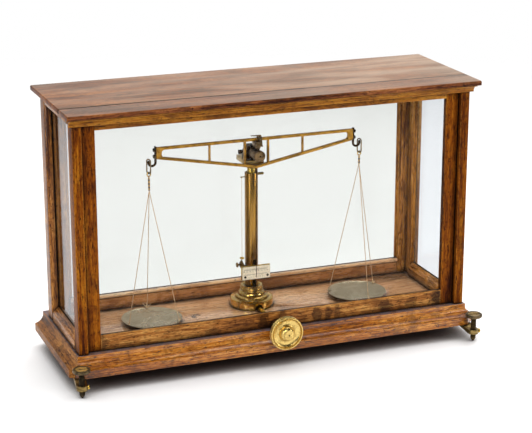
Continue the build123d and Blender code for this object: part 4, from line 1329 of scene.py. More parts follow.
@dataclass
class Joinery:
    """The wooden case: base, plinth, posts, rails, mouldings and the two boards of the top."""

    eased: float = 0.55
    eased_top: float = 0.9
    bead_radius: float = 2.1
    bead_at: tuple[float, float] = (60.9, 51.8)
    bead_half: float = 187.0
    joint_y: float = -32.8
    joint_half: float = 0.8
    joint_depth: float = 2.0
    joint_ends: tuple[float, float] = (-12.0, 216.0)

    def top_boards(self) -> dict[str, Wood]:
        """Finishes of the two boards of the top, with the marks that they share along their joint.

        Returns:
            The finish of each board's node.
        """
        seam = Stain((0, self.joint_y, TOP_FACE), (900, 2.6, 8), 0.9)
        damp = Stain((207, -12, TOP_FACE), (18, 80, 8), 0.4)
        corner = Stain((-178, -48, TOP_FACE), (52, 14, 8), 0.5)
        knots = (
            Stain((-145, 4, TOP_FACE), (3.5, 2.2, 6), 0.9),
            Stain((-175, 45, TOP_FACE), (16, 8, 6), 0.5),
            Stain((60, 30, TOP_FACE), (22, 9, 6), 0.4),
        )
        top = Wood(
            "board_top",
            Grain.ALONG_X,
            "#32160C",
            "#7A4222",
            "#A66A3C",
            seed=15,
            gloss=0.38,
            sheen=0.08,
            # Share of the sheen painted on the top's upper face.
            painted_sheen=0.68,
            figure=0.7,
            worn=0.8,
            stains=(seam, damp, *knots),
        )
        strip = replace(top, name="board_top_strip", seed=16, worn=1.0, painted_sheen=0.48)
        return {"top_board": top, "top_front_strip": replace(strip, stains=(seam, damp, corner))}

    def floor_boards(self) -> dict[str, Wood]:
        """Finishes of the base board and of the floor with its smudges.

        Returns:
            The finish of each board's node.
        """
        smudges = (
            Stain((-67, 13, FLOOR_FACE), (7, 4, 6), 0.55),
            Stain((-70, 8, FLOOR_FACE), (3, 5, 6), 0.6),
            Stain((-124, -8, FLOOR_FACE), (14, 7, 6), 0.4),
            Stain((165, 45, FLOOR_FACE), (22, 12, 6), 0.45),
            Stain((28, 0, FLOOR_FACE), (9, 12, 6), 0.4),
        )
        x = Grain.ALONG_X
        floor = Wood("board_floor", x, "#A8704A", "#E2AC7E", "#F6CEA6", seed=2, coat=1.0, stains=smudges)
        return {
            "base_board": Wood("board_base", x, "#3A2416", "#5E4028", "#7A5A3C", gloss=0.7, seed=1),
            "floor_panel": replace(floor, figure=0.15, dashes=0.25, gloss=0.22),
        }

    def plinth_boards(self) -> dict[str, Wood]:
        """Finishes of the four strips of the plinth.

        Returns:
            The finish of each strip's node.
        """
        x, y = Grain.ALONG_X, Grain.ALONG_Y
        right = Wood(
            "board_plinth_right", y, "#46200C", "#B46A26", "#E8A452", seed=5, dashes=0.7, coat=0.4, dust_and_reflection=0.5
        )
        front = replace(right, name="board_plinth_front", grain=x, middle="#AA6018", light="#E09A40")
        left = Wood("board_plinth_left", y, "#3A1E0E", "#8E5620", "#C0843E", seed=4, gloss=0.42, dust_and_reflection=0.5)
        return {
            "plinth_front": replace(front, seed=3, gloss=0.2, sheen=0.35, dust_and_reflection=0.6),
            "plinth_left": left,
            "plinth_right": right,
            "plinth_rear": replace(right, name="board_plinth_rear", grain=x, seed=6),
        }

    def post_boards(self) -> dict[str, Wood]:
        """Finishes of the four corner posts.

        Returns:
            The finish of each post's node.
        """
        z = Grain.ALONG_Z
        front = Wood("board_post_front_left", z, seed=7, middle="#7C3E08", light="#B06E18", worn=0.9)
        front = replace(front, sheen=0.05)
        rear_left = Wood("board_post_rear_left", z, "#46240F", "#A0601E", "#DA9C4C", seed=9)
        rear_left = replace(rear_left, figure=0.7, coat=0.2)
        rear_right = Wood("board_post_rear_right", z, "#5A3216", "#B87630", "#EAB264", seed=10)
        rear_right = replace(rear_right, figure=0.6, coat=0.3)
        return {
            "post_front_left": front,
            "post_front_right": replace(front, name="board_post_front_right", seed=8),
            "post_rear_left": rear_left,
            "post_rear_right": rear_right,
        }

    def rail_boards(self) -> dict[str, Wood]:
        """Finishes of the rails and the crown moulding.

        Returns:
            The finish of each board's node.
        """
        x, y = Grain.ALONG_X, Grain.ALONG_Y
        sides = Wood("board_side_rails", y, "#4E2A12", "#B0702E", "#E2A45C", seed=11, gloss=0.28, coat=0.2)
        rear = Wood("board_rear_rails", x, "#6A3A1E", "#A86C3C", "#CC9260", seed=12, coat=0.3)
        rear = replace(rear, figure=0.15, dashes=0.25, gloss=0.22)
        crown = Wood("board_crown", x, "#4A240C", "#9A5C14", "#C88A2C", seed=14)
        crown = replace(crown, figure=0.35, dashes=0.3, worn=0.8)
        return {
            "side_rails": sides,
            "rear_rails": rear,
            "front_head_rail": Wood("board_head_rail", x, seed=13),
            "crown_moulding": crown,
        }

    def sill_bead(self, bench: Bench) -> None:
        """Make the bead along the rear sill.

        Args:
            bench: the shared ways to shape pieces.
        """
        bead = bmesh.new()
        bench.rod(bead, (-self.bead_half, *self.bead_at), (self.bead_half, *self.bead_at), self.bead_radius)
        # The bead's tone, paler than the rails it sits on, partly paints its highlight.
        pale = Wood("board_sill_bead_painted_highlight", Grain.ALONG_X, "#B07848", "#E0AC7C", "#F8D8B0", seed=17)
        pale = replace(pale, figure=0.2, dashes=0.3, sheen=1.0, coat=1.0)
        bench.settle(bead, "wood_sill_bead", pale, "case", "case_wood")

    def shade_and_glue_line(self, bench: Bench) -> None:
        """Make the dark strip in the joint of the top: old glue, and painted shade in the groove between the
        eased edges.

        Args:
            bench: the shared ways to shape pieces.
        """
        joint = bmesh.new()
        low = (self.joint_ends[0], self.joint_y - self.joint_half, TOP_FACE - self.joint_depth)
        high = (self.joint_ends[1], self.joint_y + self.joint_half, TOP_FACE - 0.14)
        bench.block(joint, low, high)
        # Painted shade: the dark block in the joint also stands for the shade in its groove.
        glue = Ink("joint_shade_and_glue", dark="#120A06", pale="#2A1A10")
        bench.settle(joint, "wood_joint_shade_and_glue", glue, "case", "top_wood")

    def make(self, bench: Bench) -> None:
        """Make each board with eased edges in place of its CAD node.

        Args:
            bench: the shared ways to shape pieces.
        """
        slots = {
            "base_board": "underside_wood",
            "floor_panel": "floor_wood",
            "top_board": "top_wood",
            "top_front_strip": "top_wood",
        }
        boards = {
            **self.floor_boards(),
            **self.plinth_boards(),
            **self.post_boards(),
            **self.rail_boards(),
            **self.top_boards(),
        }
        for node, finish in boards.items():
            eased = self.eased_top if node.startswith("top") else self.eased
            shape = bench.eased_copy(node, eased, segments=3)
            bench.settle(shape, f"wood_{node}", finish, "case", slots.get(node, "case_wood"), [node])
        self.sill_bead(bench)
        self.shade_and_glue_line(bench)


@dataclass
class FrontSash:
    """The lift-out glazed front."""

    eased: float = 0.5

    def make(self, bench: Bench) -> None:
        """Make the stiles and rails, and glaze them.

        Args:
            bench: the shared ways to shape pieces.
        """
        marks = (
            Stain((44, SASH_FACE, 43), (6, 30, 10), 0.65),
            Stain((57, SASH_FACE, 43), (5, 30, 9), 0.6),
            Stain((67, SASH_FACE, 42), (4, 30, 9), 0.5),
            Stain((-15, SASH_FACE, 43), (7, 30, 10), 0.7),
            Stain((6, SASH_FACE, 47), (5, 30, 6), 0.5),
            Stain((122, SASH_FACE, 43), (8, 30, 9), 0.6),
            Stain((152, SASH_FACE, 42), (8, 30, 7), 0.45),
            Stain((190, SASH_FACE, 42), (18, 30, 13), 0.8),
            Stain((-190, SASH_FACE, 43), (12, 30, 10), 0.6),
            Stain((-70, SASH_FACE, 40), (10, 30, 5), 0.5),
        )
        x, z = Grain.ALONG_X, Grain.ALONG_Z
        stiles = Wood("board_stiles", z, seed=21, middle="#82420A", light="#B26C18", figure=0.5, sheen=0.05)
        head = Wood("board_sash_head", x, "#5A2C0C", "#A26216", "#D09034", seed=22, figure=0.35)
        foot = Wood("board_sash_foot", x, "#4A260E", "#A4662C", "#DCA458", seed=23, stains=marks, worn=0.9)
        boards = {"sash_stiles": stiles, "sash_top_rail": head, "sash_bottom_rail": foot}
        for node, finish in boards.items():
            shape = bench.eased_copy(node, self.eased, segments=3)
            bench.settle(shape, f"wood_{node}", finish, "sash", "case_wood", [node])
        bench.dress("sash_glass", PaneGlass())


@dataclass
class Glazing:
    """Fixed panes of the sides and rear and the beads that hold them."""

    eased: float = 0.3
    nail_radius: float = 1.3
    bead_half: float = 201.0
    nails: tuple[tuple[float, float], ...] = (
        (-33.5, 120.0),
        (-33.0, 205.0),
        (46.5, 90.0),
        (46.5, 160.0),
        (46.5, 230.0),
    )

    def make(self, bench: Bench) -> None:
        """Glaze the case.

        Args:
            bench: the shared ways to shape pieces.
        """
        bench.dress("glass_sides", PaneGlass("side_glass", "#DADCE0", bend=1.2))
        bench.dress("glass_rear", PaneGlass("rear_glass", "#D9DAD8", bend=1.2))
        heads = tuple(
            Stain((x, y, z), (self.nail_radius, 3.0, self.nail_radius), 0.95)
            for x in (-self.bead_half, self.bead_half)
            for y, z in self.nails
        )
        bead = Wood("board_beads", Grain.ALONG_Z, seed=24, light="#D6963E", middle="#9E5E1C", stains=heads)
        shape = bench.eased_copy("glazing_beads", self.eased)
        bench.settle(shape, "wood_glazing_beads", bead, "case", "case_wood", ["glazing_beads"])


@dataclass
class Fittings:
    """Metal pieces that keep the CAD shape, with their edges eased."""

    crease: float = 28.0

    def make(self, bench: Bench) -> None:
        """Make the metal pieces.

        Args:
            bench: the shared ways to shape pieces.
        """
        index = replace(LACQUERED, name="index_brass", bright="#866630", dull="#3C2A14")
        screws = replace(BRASS, name="screw_brass", spots=0.6)
        plan = [
            ("column_base", POLISHED, "case", "polished_brass", 0.3, 25),
            ("column_tube", TUBE, "case", "lacquered_brass", 0.15, 40),
            ("bushes", AGED, "case", "aged_brass", 0.2, 40),
            ("rear_foot", AGED, "case", "aged_brass", 0.2, 40),
            ("case_fasteners", screws, "case", "aged_brass", 0.2, 40),
            ("foot_arm_left", AGED, "case", "aged_brass", 0.4, 30),
            ("foot_arm_right", AGED, "case", "aged_brass", 0.4, 30),
            ("arrest_shaft", BRASS, "arrest", "bright_brass", 0.0, 35),
            ("lift_cam", STEEL, "arrest", "dark_steel", 0.15, 35),
            ("lifting_rod", BRASS, "lift", "bright_brass", 0.1, 40),
            ("bearing_cylinder", WORN_STEEL, "lift", "dark_steel", 0.35, 40),
            ("bearing_clamp_screw", STEEL, "lift", "dark_steel", 0.3, 40),
            ("scale_backplate", BRASS, "lift", "bright_brass", 0.2, 35),
            ("scale_screws", BLACKENED, "lift", "dark_steel", 0.08, 40),
            ("beam", LACQUERED, "beam_group", "lacquered_brass", 0.25, 35),
            ("pointer", STEEL, "beam_group", "dark_steel", 0.0, 35),
            ("end_hooks", STEEL, "beam_group", "dark_steel", 0.25, 45),
            ("end_screws", BLACKENED, "beam_group", "dark_steel", 0.0, 45),
            ("zero_vane", WORN_STEEL, "vane", "dark_steel", 0.2, 35),
            ("plumb_bracket", index, "case", "lacquered_brass", 0.4, 35),
            ("plumb_thumbscrew", index, "thumbscrew", "lacquered_brass", 0.4, 35),
        ]
        for node, finish, body, slot, eased, angle in plan:
            shape = bench.eased_copy(node, eased, angle)
            bench.settle(shape, f"metal_{node}", finish, body, slot, [node], crease=self.crease)


@dataclass
class ArrestKnob:
    """Dished brass knob with a domed hub, turned to lift the beam off its rest."""

    axis_height: float = 38.6
    radius: float = 17.5
    rim_front: float = 78.5
    web_front: float = 75.4
    web_back: float = 73.5
    hub_front: float = 83.5
    hub_radius: float = 8.0
    dome_rise: float = 6.0
    dome_steps: int = 7
    boss_back: float = 69.5
    boss_radius: float = 4.2
    bore: float = 2.1
    sections: int = 128

    def hub_outline(self) -> list[tuple[float, float]]:
        """The hub's outline, from the hole in its middle over its face and dome.

        Returns:
            Points of radius and distance to the front.
        """
        hub, front = self.hub_radius, self.hub_front
        hole = [(0, front - 1.6), (0.7, front - 1.5), (0.85, front - 0.1), (1.2, front)]
        ring = [(hub - 3.4, front), (hub - 3.2, front - 0.3)]
        ring += [(hub - 3.0, front - 0.35), (hub - 2.8, front - 0.3)]
        foot = front - self.dome_rise - 0.4
        angles = [1.02 - 0.16 * step for step in range(self.dome_steps)]
        dome = [(hub * math.cos(angle), foot + self.dome_rise * math.sin(angle)) for angle in angles]
        return hole + ring + dome

    def rim_outline(self) -> list[tuple[float, float]]:
        """The outline of the dish and the rim, from the hub to the groove round the knob.

        Returns:
            Points of radius and distance to the front.
        """
        hub, web, rim, size = self.hub_radius, self.web_front, self.rim_front, self.radius
        dish = [(hub + 0.3, web + 0.5), (hub + 0.9, web + 0.08), (hub + 1.8, web), (hub + 4.2, web + 0.15)]
        lip = [(size - 2.9, web + 0.7), (size - 2.2, web + 1.5)]
        lip += [(size - 1.9, rim - 0.6), (size - 1.5, rim - 0.1)]
        edge = [(size - 1.0, rim), (size - 0.5, rim - 0.15), (size - 0.1, rim - 0.7), (size, rim - 1.5)]
        groove = [(size, web + 0.3), (size - 0.5, web + 0.05), (size - 0.5, web - 0.5), (size, web - 0.8)]
        return dish + lip + edge + groove

    def back_outline(self) -> list[tuple[float, float]]:
        """The outline of the back and the boss, to the bottom of the bore.

        Returns:
            Points of radius and distance to the front.
        """
        size, web = self.radius, self.web_front
        back = [(size, self.web_back + 0.4), (size - 0.4, self.web_back)]
        back += [(self.boss_radius + 1.4, self.web_back), (self.boss_radius + 0.8, self.web_back - 0.6)]
        boss = [(self.boss_radius, self.boss_back), (self.bore, self.boss_back)]
        return back + boss + [(self.bore, web - 0.6), (0, web - 0.6)]

    def make(self, bench: Bench) -> None:
        """Turn the knob on the lathe.

        Args:
            bench: the shared ways to shape pieces.
        """
        outline = self.hub_outline() + self.rim_outline() + self.back_outline()
        shape = bench.lathe(outline, self.sections)
        bench.move(shape, (0, 0, self.axis_height), Matrix.Rotation(math.pi / 2, 4, "X"))
        finish = replace(BRASS, name="knob_brass", bright="#E8C878", dull="#A88444", rough=0.2, spots=0.7)
        hub = (0.0, 0.0, self.axis_height)
        finish = replace(finish, tool=Turning.LATHE_Y, hub=hub, scratches=0.8, cloud=0.2)
        bench.settle(shape, "metal_arrest_knob", finish, "arrest", "bright_brass", ["arrest_knob"], crease=40)


@dataclass
class LevellingFeet:
    """Two threaded screws with slotted dished heads."""

    across: float = 213.5
    front: float = -74.5
    shank: float = 2.88
    root: float = 2.5
    pitch: float = 0.9
    tip: float = 3.4
    head_foot: float = 25.6
    sections: int = 48

    def shank_outline(self) -> list[tuple[float, float]]:
        """The outline of the threaded shank, from its point to the head.

        Returns:
            Points of radius and height.
        """
        outline = [(0.0, 0.0), (0.6, 0.05), (self.root, self.tip - 0.4)]
        turns = int((self.head_foot - self.tip) / self.pitch)
        for turn in range(turns):
            foot = self.tip + turn * self.pitch
            crest = [(self.shank, foot + share * self.pitch) for share in (0.4, 0.5)]
            outline += [(self.root, foot), *crest]
        neck = self.head_foot + 0.6
        return outline + [(self.root, self.head_foot), (self.root, neck), (0.0, neck)]

    def make(self, bench: Bench) -> None:
        """Make each screw as a head and a threaded shank, the left one's head rubbed the brighter.

        Args:
            bench: the shared ways to shape pieces.
        """
        right_shank = replace(AGED, name="foot_shank_right", bright="#6E5C3C")
        for side, name, shine, metal in ((-1, "left", 1.0, BLACKENED), (1, "right", 0.35, right_shank)):
            hub = (side * self.across, self.front, 0.0)
            node = f"levelling_screw_{name}"
            body = f"levelling_{name}"
            head = bench.keep_side(bench.eased_copy(node, 0.3, 35), (0, 0, self.head_foot), (0, 0, 1))
            finish = replace(AGED, name=f"foot_head_{name}", bright="#6E5A38", dull="#2E2416", crown=shine)
            finish = replace(finish, tool=Turning.LATHE_Z, hub=hub, metallic=0.6)
            bench.settle(head, f"metal_foot_head_{name}", finish, body, "aged_brass", [node])
            shank = bench.move(bench.lathe(self.shank_outline(), self.sections), hub)
            bench.settle(shank, f"metal_foot_shank_{name}", metal, body, "aged_brass")


@dataclass
class BearingHead:
    """Bracket on the lifting rod, the knife on the beam and the strap that holds it."""

    plate_top: float = 196.6
    knife_top: float = 218.8
    knife_edge: float = 208.6
    knife_half: float = 2.6
    knife_length: float = 11.0
    knife_slope: Point = (0.82, 0.0, 0.57)
    beam_top: float = 221.7
    beam_half: float = 1.5
    clip_x: float = 3.4
    strap_gap: float = 0.9
    strap_sheet: float = 0.765
    strap_width: float = 4.6

    def bracket(self, bench: Bench) -> None:
        """Part the bracket into its brass plate and its dark block.

        Args:
            bench: the shared ways to shape pieces.
        """
        up, down = (0, 0, 1), (0, 0, -1)
        cut = (0, 0, self.plate_top)
        block = bench.keep_side(bench.eased_copy("bearing_bracket", 0.35, 35), cut, up)
        bench.settle(block, "metal_head_block", STEEL, "lift", "dark_steel", ["bearing_bracket"])
        plate = bench.keep_side(bench.eased_copy("bearing_bracket", 0.35, 35), cut, down)
        pale = Metal("plate_brass", "#B99A62", "#6A5230", rough=0.3, tarnish=0.6, spots=0.4)
        bench.settle(plate, "metal_head_plate", pale, "lift", "dark_steel")

    def knife(self, bench: Bench) -> None:
        """Make the centre knife, ground to its edge.

        Args:
            bench: the shared ways to shape pieces.
        """
        shape = bmesh.new()
        half = self.knife_length / 2
        low = (-self.knife_half, BEAM_Y - half, self.knife_edge)
        bench.block(shape, low, (self.knife_half, BEAM_Y + half, self.knife_top))
        across, along, up = self.knife_slope
        for side in (-1, 1):
            shape = bench.keep_side(shape, (0.0, BEAM_Y, self.knife_edge), (-side * across, along, up))
        bench.ease(shape, 0.08, 20)
        bench.settle(shape, "metal_centre_knife", WORN_STEEL, "beam_group", "dark_steel", ["centre_knife"])

    def strap(self, bench: Bench) -> None:
        """Bend the strap over the top of the beam and down in front of it, with a curl at its foot.

        Args:
            bench: the shared ways to shape pieces.
        """
        front = BEAM_Y - self.beam_half - self.strap_gap
        rear = BEAM_Y + self.beam_half
        top = self.beam_top
        bend = [
            (rear + 0.1, top - 2.4),
            (rear + 0.1, top + 0.1),
            (front + 0.9, top + 0.1),
            (front + 0.8, top - 3.0),
            (front + 0.2, top - 6.4),
            (front - 0.9, top - 8.6),
            (front - 2.2, top - 8.9),
        ]
        shape = bmesh.new()
        x = self.clip_x - self.strap_width / 2
        verts = [shape.verts.new((x * MM, y * MM, z * MM)) for y, z in bend]
        edges = [shape.edges.new(pair) for pair in zip(verts, verts[1:])]
        made = bmesh.ops.extrude_edge_only(shape, edges=edges)["geom"]
        moved = [part for part in made if isinstance(part, bmesh.types.BMVert)]
        bmesh.ops.translate(shape, vec=(self.strap_width * MM, 0, 0), verts=moved)
        bmesh.ops.recalc_face_normals(shape, faces=shape.faces)
        if sum(face.normal.z for face in shape.faces if abs(face.normal.z) > 0.9) < 0:
            bmesh.ops.reverse_faces(shape, faces=shape.faces)
        bmesh.ops.solidify(shape, geom=list(shape.faces), thickness=-self.strap_sheet * MM)
        bench.ease(shape, 0.15, 40)
        bench.settle(shape, "metal_beam_strap", WORN_STEEL, "beam_group", "dark_steel", ["beam_clip"])

    def make(self, bench: Bench) -> None:
        """Make the head.

        Args:
            bench: the shared ways to shape pieces.
        """
        self.bracket(bench)
        self.knife(bench)
        self.strap(bench)


@dataclass
class Hangings:
    """Links, rings, thread eyes with their whipping, knots and the two pans."""

    link_top: float = 210.8
    link_foot: float = 194.6
    link_radius: float = 2.3
    link_wire: float = 0.72
    link_turn: float = 128.0
    ring_middle: float = 194.5
    ring_radius: float = 2.2
    ring_wire: float = 0.55
    eye_middle: float = 191.8
    eye_radius: float = 1.2
    turn_height: float = 0.75
    long_tail: float = 7.0
    short_tail: float = 3.4
    knot_wire: float = 0.42
    pan_radius: float = 31.5
    pan_foot: float = 39.8
    cords: Cordage = field(default_factory=Cordage)

    def hanger(self, bench: Bench, x: float, name: str) -> None:
        """Make the link that hangs on the end hook, and the ring below it.

        Args:
            bench: the shared ways to shape pieces.
            x: the hanger's place along the beam.
            name: its side.
        """
        turn = math.radians(self.link_turn)
        height = self.link_top - self.link_foot
        straight = height - 2 * (self.link_radius + self.link_wire)
        middle = (x, BEAM_Y, self.link_foot + height / 2)
        axis = (math.sin(turn), -math.cos(turn), 0.0)
        link = bench.ring(middle, axis, self.link_radius, self.link_wire, straight)
        bench.settle(link, f"metal_link_{name}", LINK_STEEL, f"hanger_{name}", "dark_steel", [f"link_{name}"])
        ring = bench.ring((x, BEAM_Y, self.ring_middle), (0.3, -1, 0), self.ring_radius, self.ring_wire)
        gold = replace(BRASS, name="ring_brass", dull="#6A4A1E", spots=0.6)
        bench.settle(ring, f"metal_ring_{name}", gold, f"hanger_{name}", "dark_steel")

    def whipping(self, bench: Bench, x: float, name: str, apex: float) -> None:
        """Make the thread's eye and the bound stretch down to where the threads part.

        Args:
            bench: the shared ways to shape pieces.
            x: the hanger's place along the beam.
            name: its side.
            apex: the height at which the threads part.
        """
        body = f"pan_group_{name}"
        eye = bench.ring((x, BEAM_Y, self.eye_middle), (1, 0, 0), self.eye_radius, self.cords.thread_radius)
        bench.settle(eye, f"silk_eye_{name}", Silk(), body, "silk")
        head = self.eye_middle - self.eye_radius + 0.3
        turns = max(4, int((head - apex) / self.turn_height))
        step = (head - apex) / turns
        outline = [(0.0, head)]
        for turn in range(turns):
            z = head - turn * step
            outline += [(0.7, z), (1.1, z - 0.3 * step), (1.12, z - 0.6 * step)]
        outline += [(0.55, apex), (0.0, apex - 0.2)]
        shape = bench.move(bench.lathe(outline, 24), (x, BEAM_Y, 0))
        gold = Silk("whipping", pale="#C08E30", deep="#1E1208", whipped=True)
        bench.settle(shape, f"silk_whipping_{name}", gold, body, "silk", crease=60)

    def knot(self, bench: Bench, shape: Shape, at: Vector, out: Vector, reach: float) -> None:
        """Add one knot with the frayed ends that stand off it.

        Args:
            bench: the shared ways to shape pieces.
            shape: the shape that it is added to.
            at: its middle in millimetres.
            out: the direction away from the pan's middle.
            reach: the length of its longest end.
        """
        side = Vector((-out.y, out.x, 0))
        for tilt, size in ((0.0, 0.78), (1.3, 0.7)):
            axis = out * math.cos(tilt) + side * math.sin(tilt)
            bench.weld(shape, bench.ring(tuple(at), tuple(axis), size, self.knot_wire, steps=20))
        for lean, lift, share in ((0.75, 0.55, 1.0), (-0.65, 0.35, 0.6), (0.2, 0.75, 0.6)):
            tail = (side * lean + out * 0.35 + Vector((0, 0, lift))).normalized()
            first = at + tail * 0.6 * reach * share
            last = first + (tail + Vector((0.2, 0, 0.35))).normalized() * 0.4 * reach
            bench.rod(shape, tuple(at), tuple(first), self.knot_wire, self.cords.thread_radius)
            bench.rod(shape, tuple(first), tuple(last), self.cords.thread_radius, 0.2)

    def knots(self, bench: Bench, x: float, name: str, angles: Sequence[float]) -> None:
        """Tie each thread at the rim of the pan.

        Args:
            bench: the shared ways to shape pieces.
            x: the hanger's place along the beam.
            name: its side.
            angles: the direction of each thread in degrees.
        """
        shape = bmesh.new()
        for number, angle in enumerate(angles):
            turn = math.radians(angle)
            out = Vector((math.cos(turn), math.sin(turn), 0))
            at = Vector((x, BEAM_Y, self.cords.pan_rim + 0.3)) + self.cords.hole_radius * out
            reach = self.long_tail if name == "left" and number == 0 else self.short_tail
            self.knot(bench, shape, at, out, reach)
        pale = Silk("frayed_silk", pale="#E6CBA6", deep="#A8814F")
        bench.settle(shape, f"silk_knots_{name}", pale, f"pan_group_{name}", "silk", crease=60)

    def pan(self, bench: Bench, x: float, name: str) -> None:
        """Beat the shallow pan and roll its rim.

        Args:
            bench: the shared ways to shape pieces.
            x: the hanger's place along the beam.
            name: its side.
        """
        size, rim, foot = self.pan_radius, self.cords.pan_rim - 0.1, self.pan_foot
        under = [(0, foot), (22, foot), (26, foot + 0.12), (29.6, foot + 0.55), (size - 0.7, foot + 0.85)]
        roll = [(size - 0.15, rim - 0.65), (size, rim - 0.35), (size - 0.15, rim - 0.08), (size - 0.5, rim)]
        inside = [(size - 0.9, rim - 0.12), (size - 1.15, rim - 0.4), (29.0, rim - 0.62), (26, foot + 0.75)]
        bowl = [(22, foot + 0.6), (12, foot + 0.56), (0, foot + 0.55)]
        shape = bench.move(bench.lathe(under + roll + inside + bowl, 128), (x, BEAM_Y, 0))
        finish = replace(PAN, name=f"pan_metal_{name}", tool=Turning.LATHE_Z, hub=(x, BEAM_Y, 0.0))
        body, node = f"pan_group_{name}", f"pan_{name}"
        bench.settle(shape, f"metal_{node}", finish, body, "pan_metal", [node], crease=50)

    def make(self, bench: Bench) -> None:
        """Make both hangers down to their pans.

        Args:
            bench: the shared ways to shape pieces.
        """
        for x, name, apex, angles in self.cords.sides():
            self.hanger(bench, x, name)
            self.whipping(bench, x, name, apex)
            self.knots(bench, x, name, angles)
            self.pan(bench, x, name)


@dataclass
class ScalePlate:
    """Pale plate with plain graduations and numbers, read with the pointer.

    The marks of each rule come in a longer and a shorter length.
    """

    face: float = 12.1
    upper_rule: float = 78.4
    lower_rule: float = 73.6
    rule_half: float = 0.1
    step: float = 0.65
    divisions: int = 20
    proud: float = 0.12
    sunk: float = 0.05
    line: float = 0.16
    upper_marks: tuple[float, float] = (2.3, 1.3)
    lower_marks: tuple[float, float] = (1.7, 1.0)
    upper_digits: float = 1.9
    lower_digits: float = 1.7

    def bar(self, bench: Bench, shape: Shape, low: tuple[float, float], high: tuple[float, float]) -> None:
        """Add a raised bar of ink on the plate's face.

        Args:
            bench: the shared ways to shape pieces.
            shape: the shape that it is added to.
            low: its lowest corner, across and up.
            high: its highest corner, across and up.
        """
        near, far = self.face - self.proud, self.face + self.sunk
        bench.block(shape, (low[0], near, low[1]), (high[0], far, high[1]))

    def stroke(self, bench: Bench, shape: Shape, x: float, low: float, high: float) -> None:
        """Add an upright stroke.

        Args:
            bench: the shared ways to shape pieces.
            shape: the shape that it is added to.
            x: its place across the plate.
            low: its foot.
            high: its head.
        """
        half = self.line / 2
        self.bar(bench, shape, (x - half, low), (x + half, high))

    def make(self, bench: Bench) -> None:
        """Engrave the plate.

        Args:
            bench: the shared ways to shape pieces.
        """
        shape = bmesh.new()
        reach = self.step * self.divisions
        for rule in (self.upper_rule, self.lower_rule):
            self.bar(bench, shape, (-reach, rule - self.rule_half), (reach, rule + self.rule_half))
        for mark in range(-self.divisions, self.divisions + 1):
            x = mark * self.step
            tall = self.upper_marks[0 if mark % 5 == 0 else 1]
            deep = self.lower_marks[0 if mark % 10 == 0 else 1]
            self.stroke(bench, shape, x, self.upper_rule, self.upper_rule + tall)
            if mark % 2 == 0:
                self.stroke(bench, shape, x, self.lower_rule - deep, self.lower_rule)
            if mark % 5 == 0:
                at = (x, self.face - 0.06, self.upper_rule - 1.5)
                bench.digits(shape, str(abs(mark)), self.upper_digits, at)
            if mark % 4 == 0 and abs(mark) <= 12:
                at = (x, self.face - 0.06, self.lower_rule - 3.0)
                bench.digits(shape, str(abs(mark) // 4), self.lower_digits, at)
        bench.settle(shape, "scale_marks", Ink(), "lift", "ivory")
        bench.dress("scale_plate", Ivory())


@dataclass
class ColumnPins:
    """Stop pin at the column's right and the thin wire that the plumb line hangs from."""

    pin_height: float = 179.0
    pin_radius: float = 1.4
    pin_chamfer: float = 0.5
    inner: float = 5.1
    pin_out: float = 13.7
    wire_height: float = 177.0
    wire_out: float = 12.0
    wire_radius: float = 0.55
    eye_radius: float = 0.8
    eye_wire: float = 0.28
    cords: Cordage = field(default_factory=Cordage)

    def make(self, bench: Bench) -> None:
        """Make both pins.

        Args:
            bench: the shared ways to shape pieces.
        """
        shape = bmesh.new()
        at = (COLUMN_Y, self.pin_height)
        shoulder = self.pin_out - self.pin_chamfer
        end = self.pin_radius - self.pin_chamfer
        bench.rod(shape, (self.inner, *at), (shoulder, *at), self.pin_radius)
        bench.rod(shape, (shoulder, *at), (self.pin_out, *at), self.pin_radius, end)
        bench.settle(shape, "metal_stop_pin", AGED, "case", "dark_steel", ["column_pins"])
        wire = bmesh.new()
        at = (COLUMN_Y, self.wire_height)
        bench.rod(wire, (-self.inner, *at), (-self.wire_out, *at), self.wire_radius)
        eye = bench.ring((self.cords.plumb_x, *at), (1, 0, 0), self.eye_radius, self.eye_wire, steps=24)
        bench.weld(wire, eye)
        pale = replace(AGED, name="wire_brass", bright="#B49A5C")
        bench.settle(wire, "metal_plumb_wire", pale, "case", "dark_steel")


@dataclass(frozen=True)
class Lamp:
    """A soft rectangular lamp that faces the middle of the case.

    Its places and sizes are in metres, and its power is in watts.
    """

    name: str
    at: Point
    size: tuple[float, float]
    power: float
    aim: Point = (0.0, 0.0, 0.15)

    def hang(self) -> None:
        """Hang the lamp."""
        data = bpy.data.lights.new(self.name, "AREA")
        data.shape = "RECTANGLE"
        data.size, data.size_y = self.size
        data.energy = self.power
        lamp = bpy.data.objects.new(self.name, data)
        lamp.location = self.at
        lamp.rotation_euler = (Vector(self.at) - Vector(self.aim)).to_track_quat("Z", "Y").to_euler()
        bpy.context.scene.collection.objects.link(lamp)


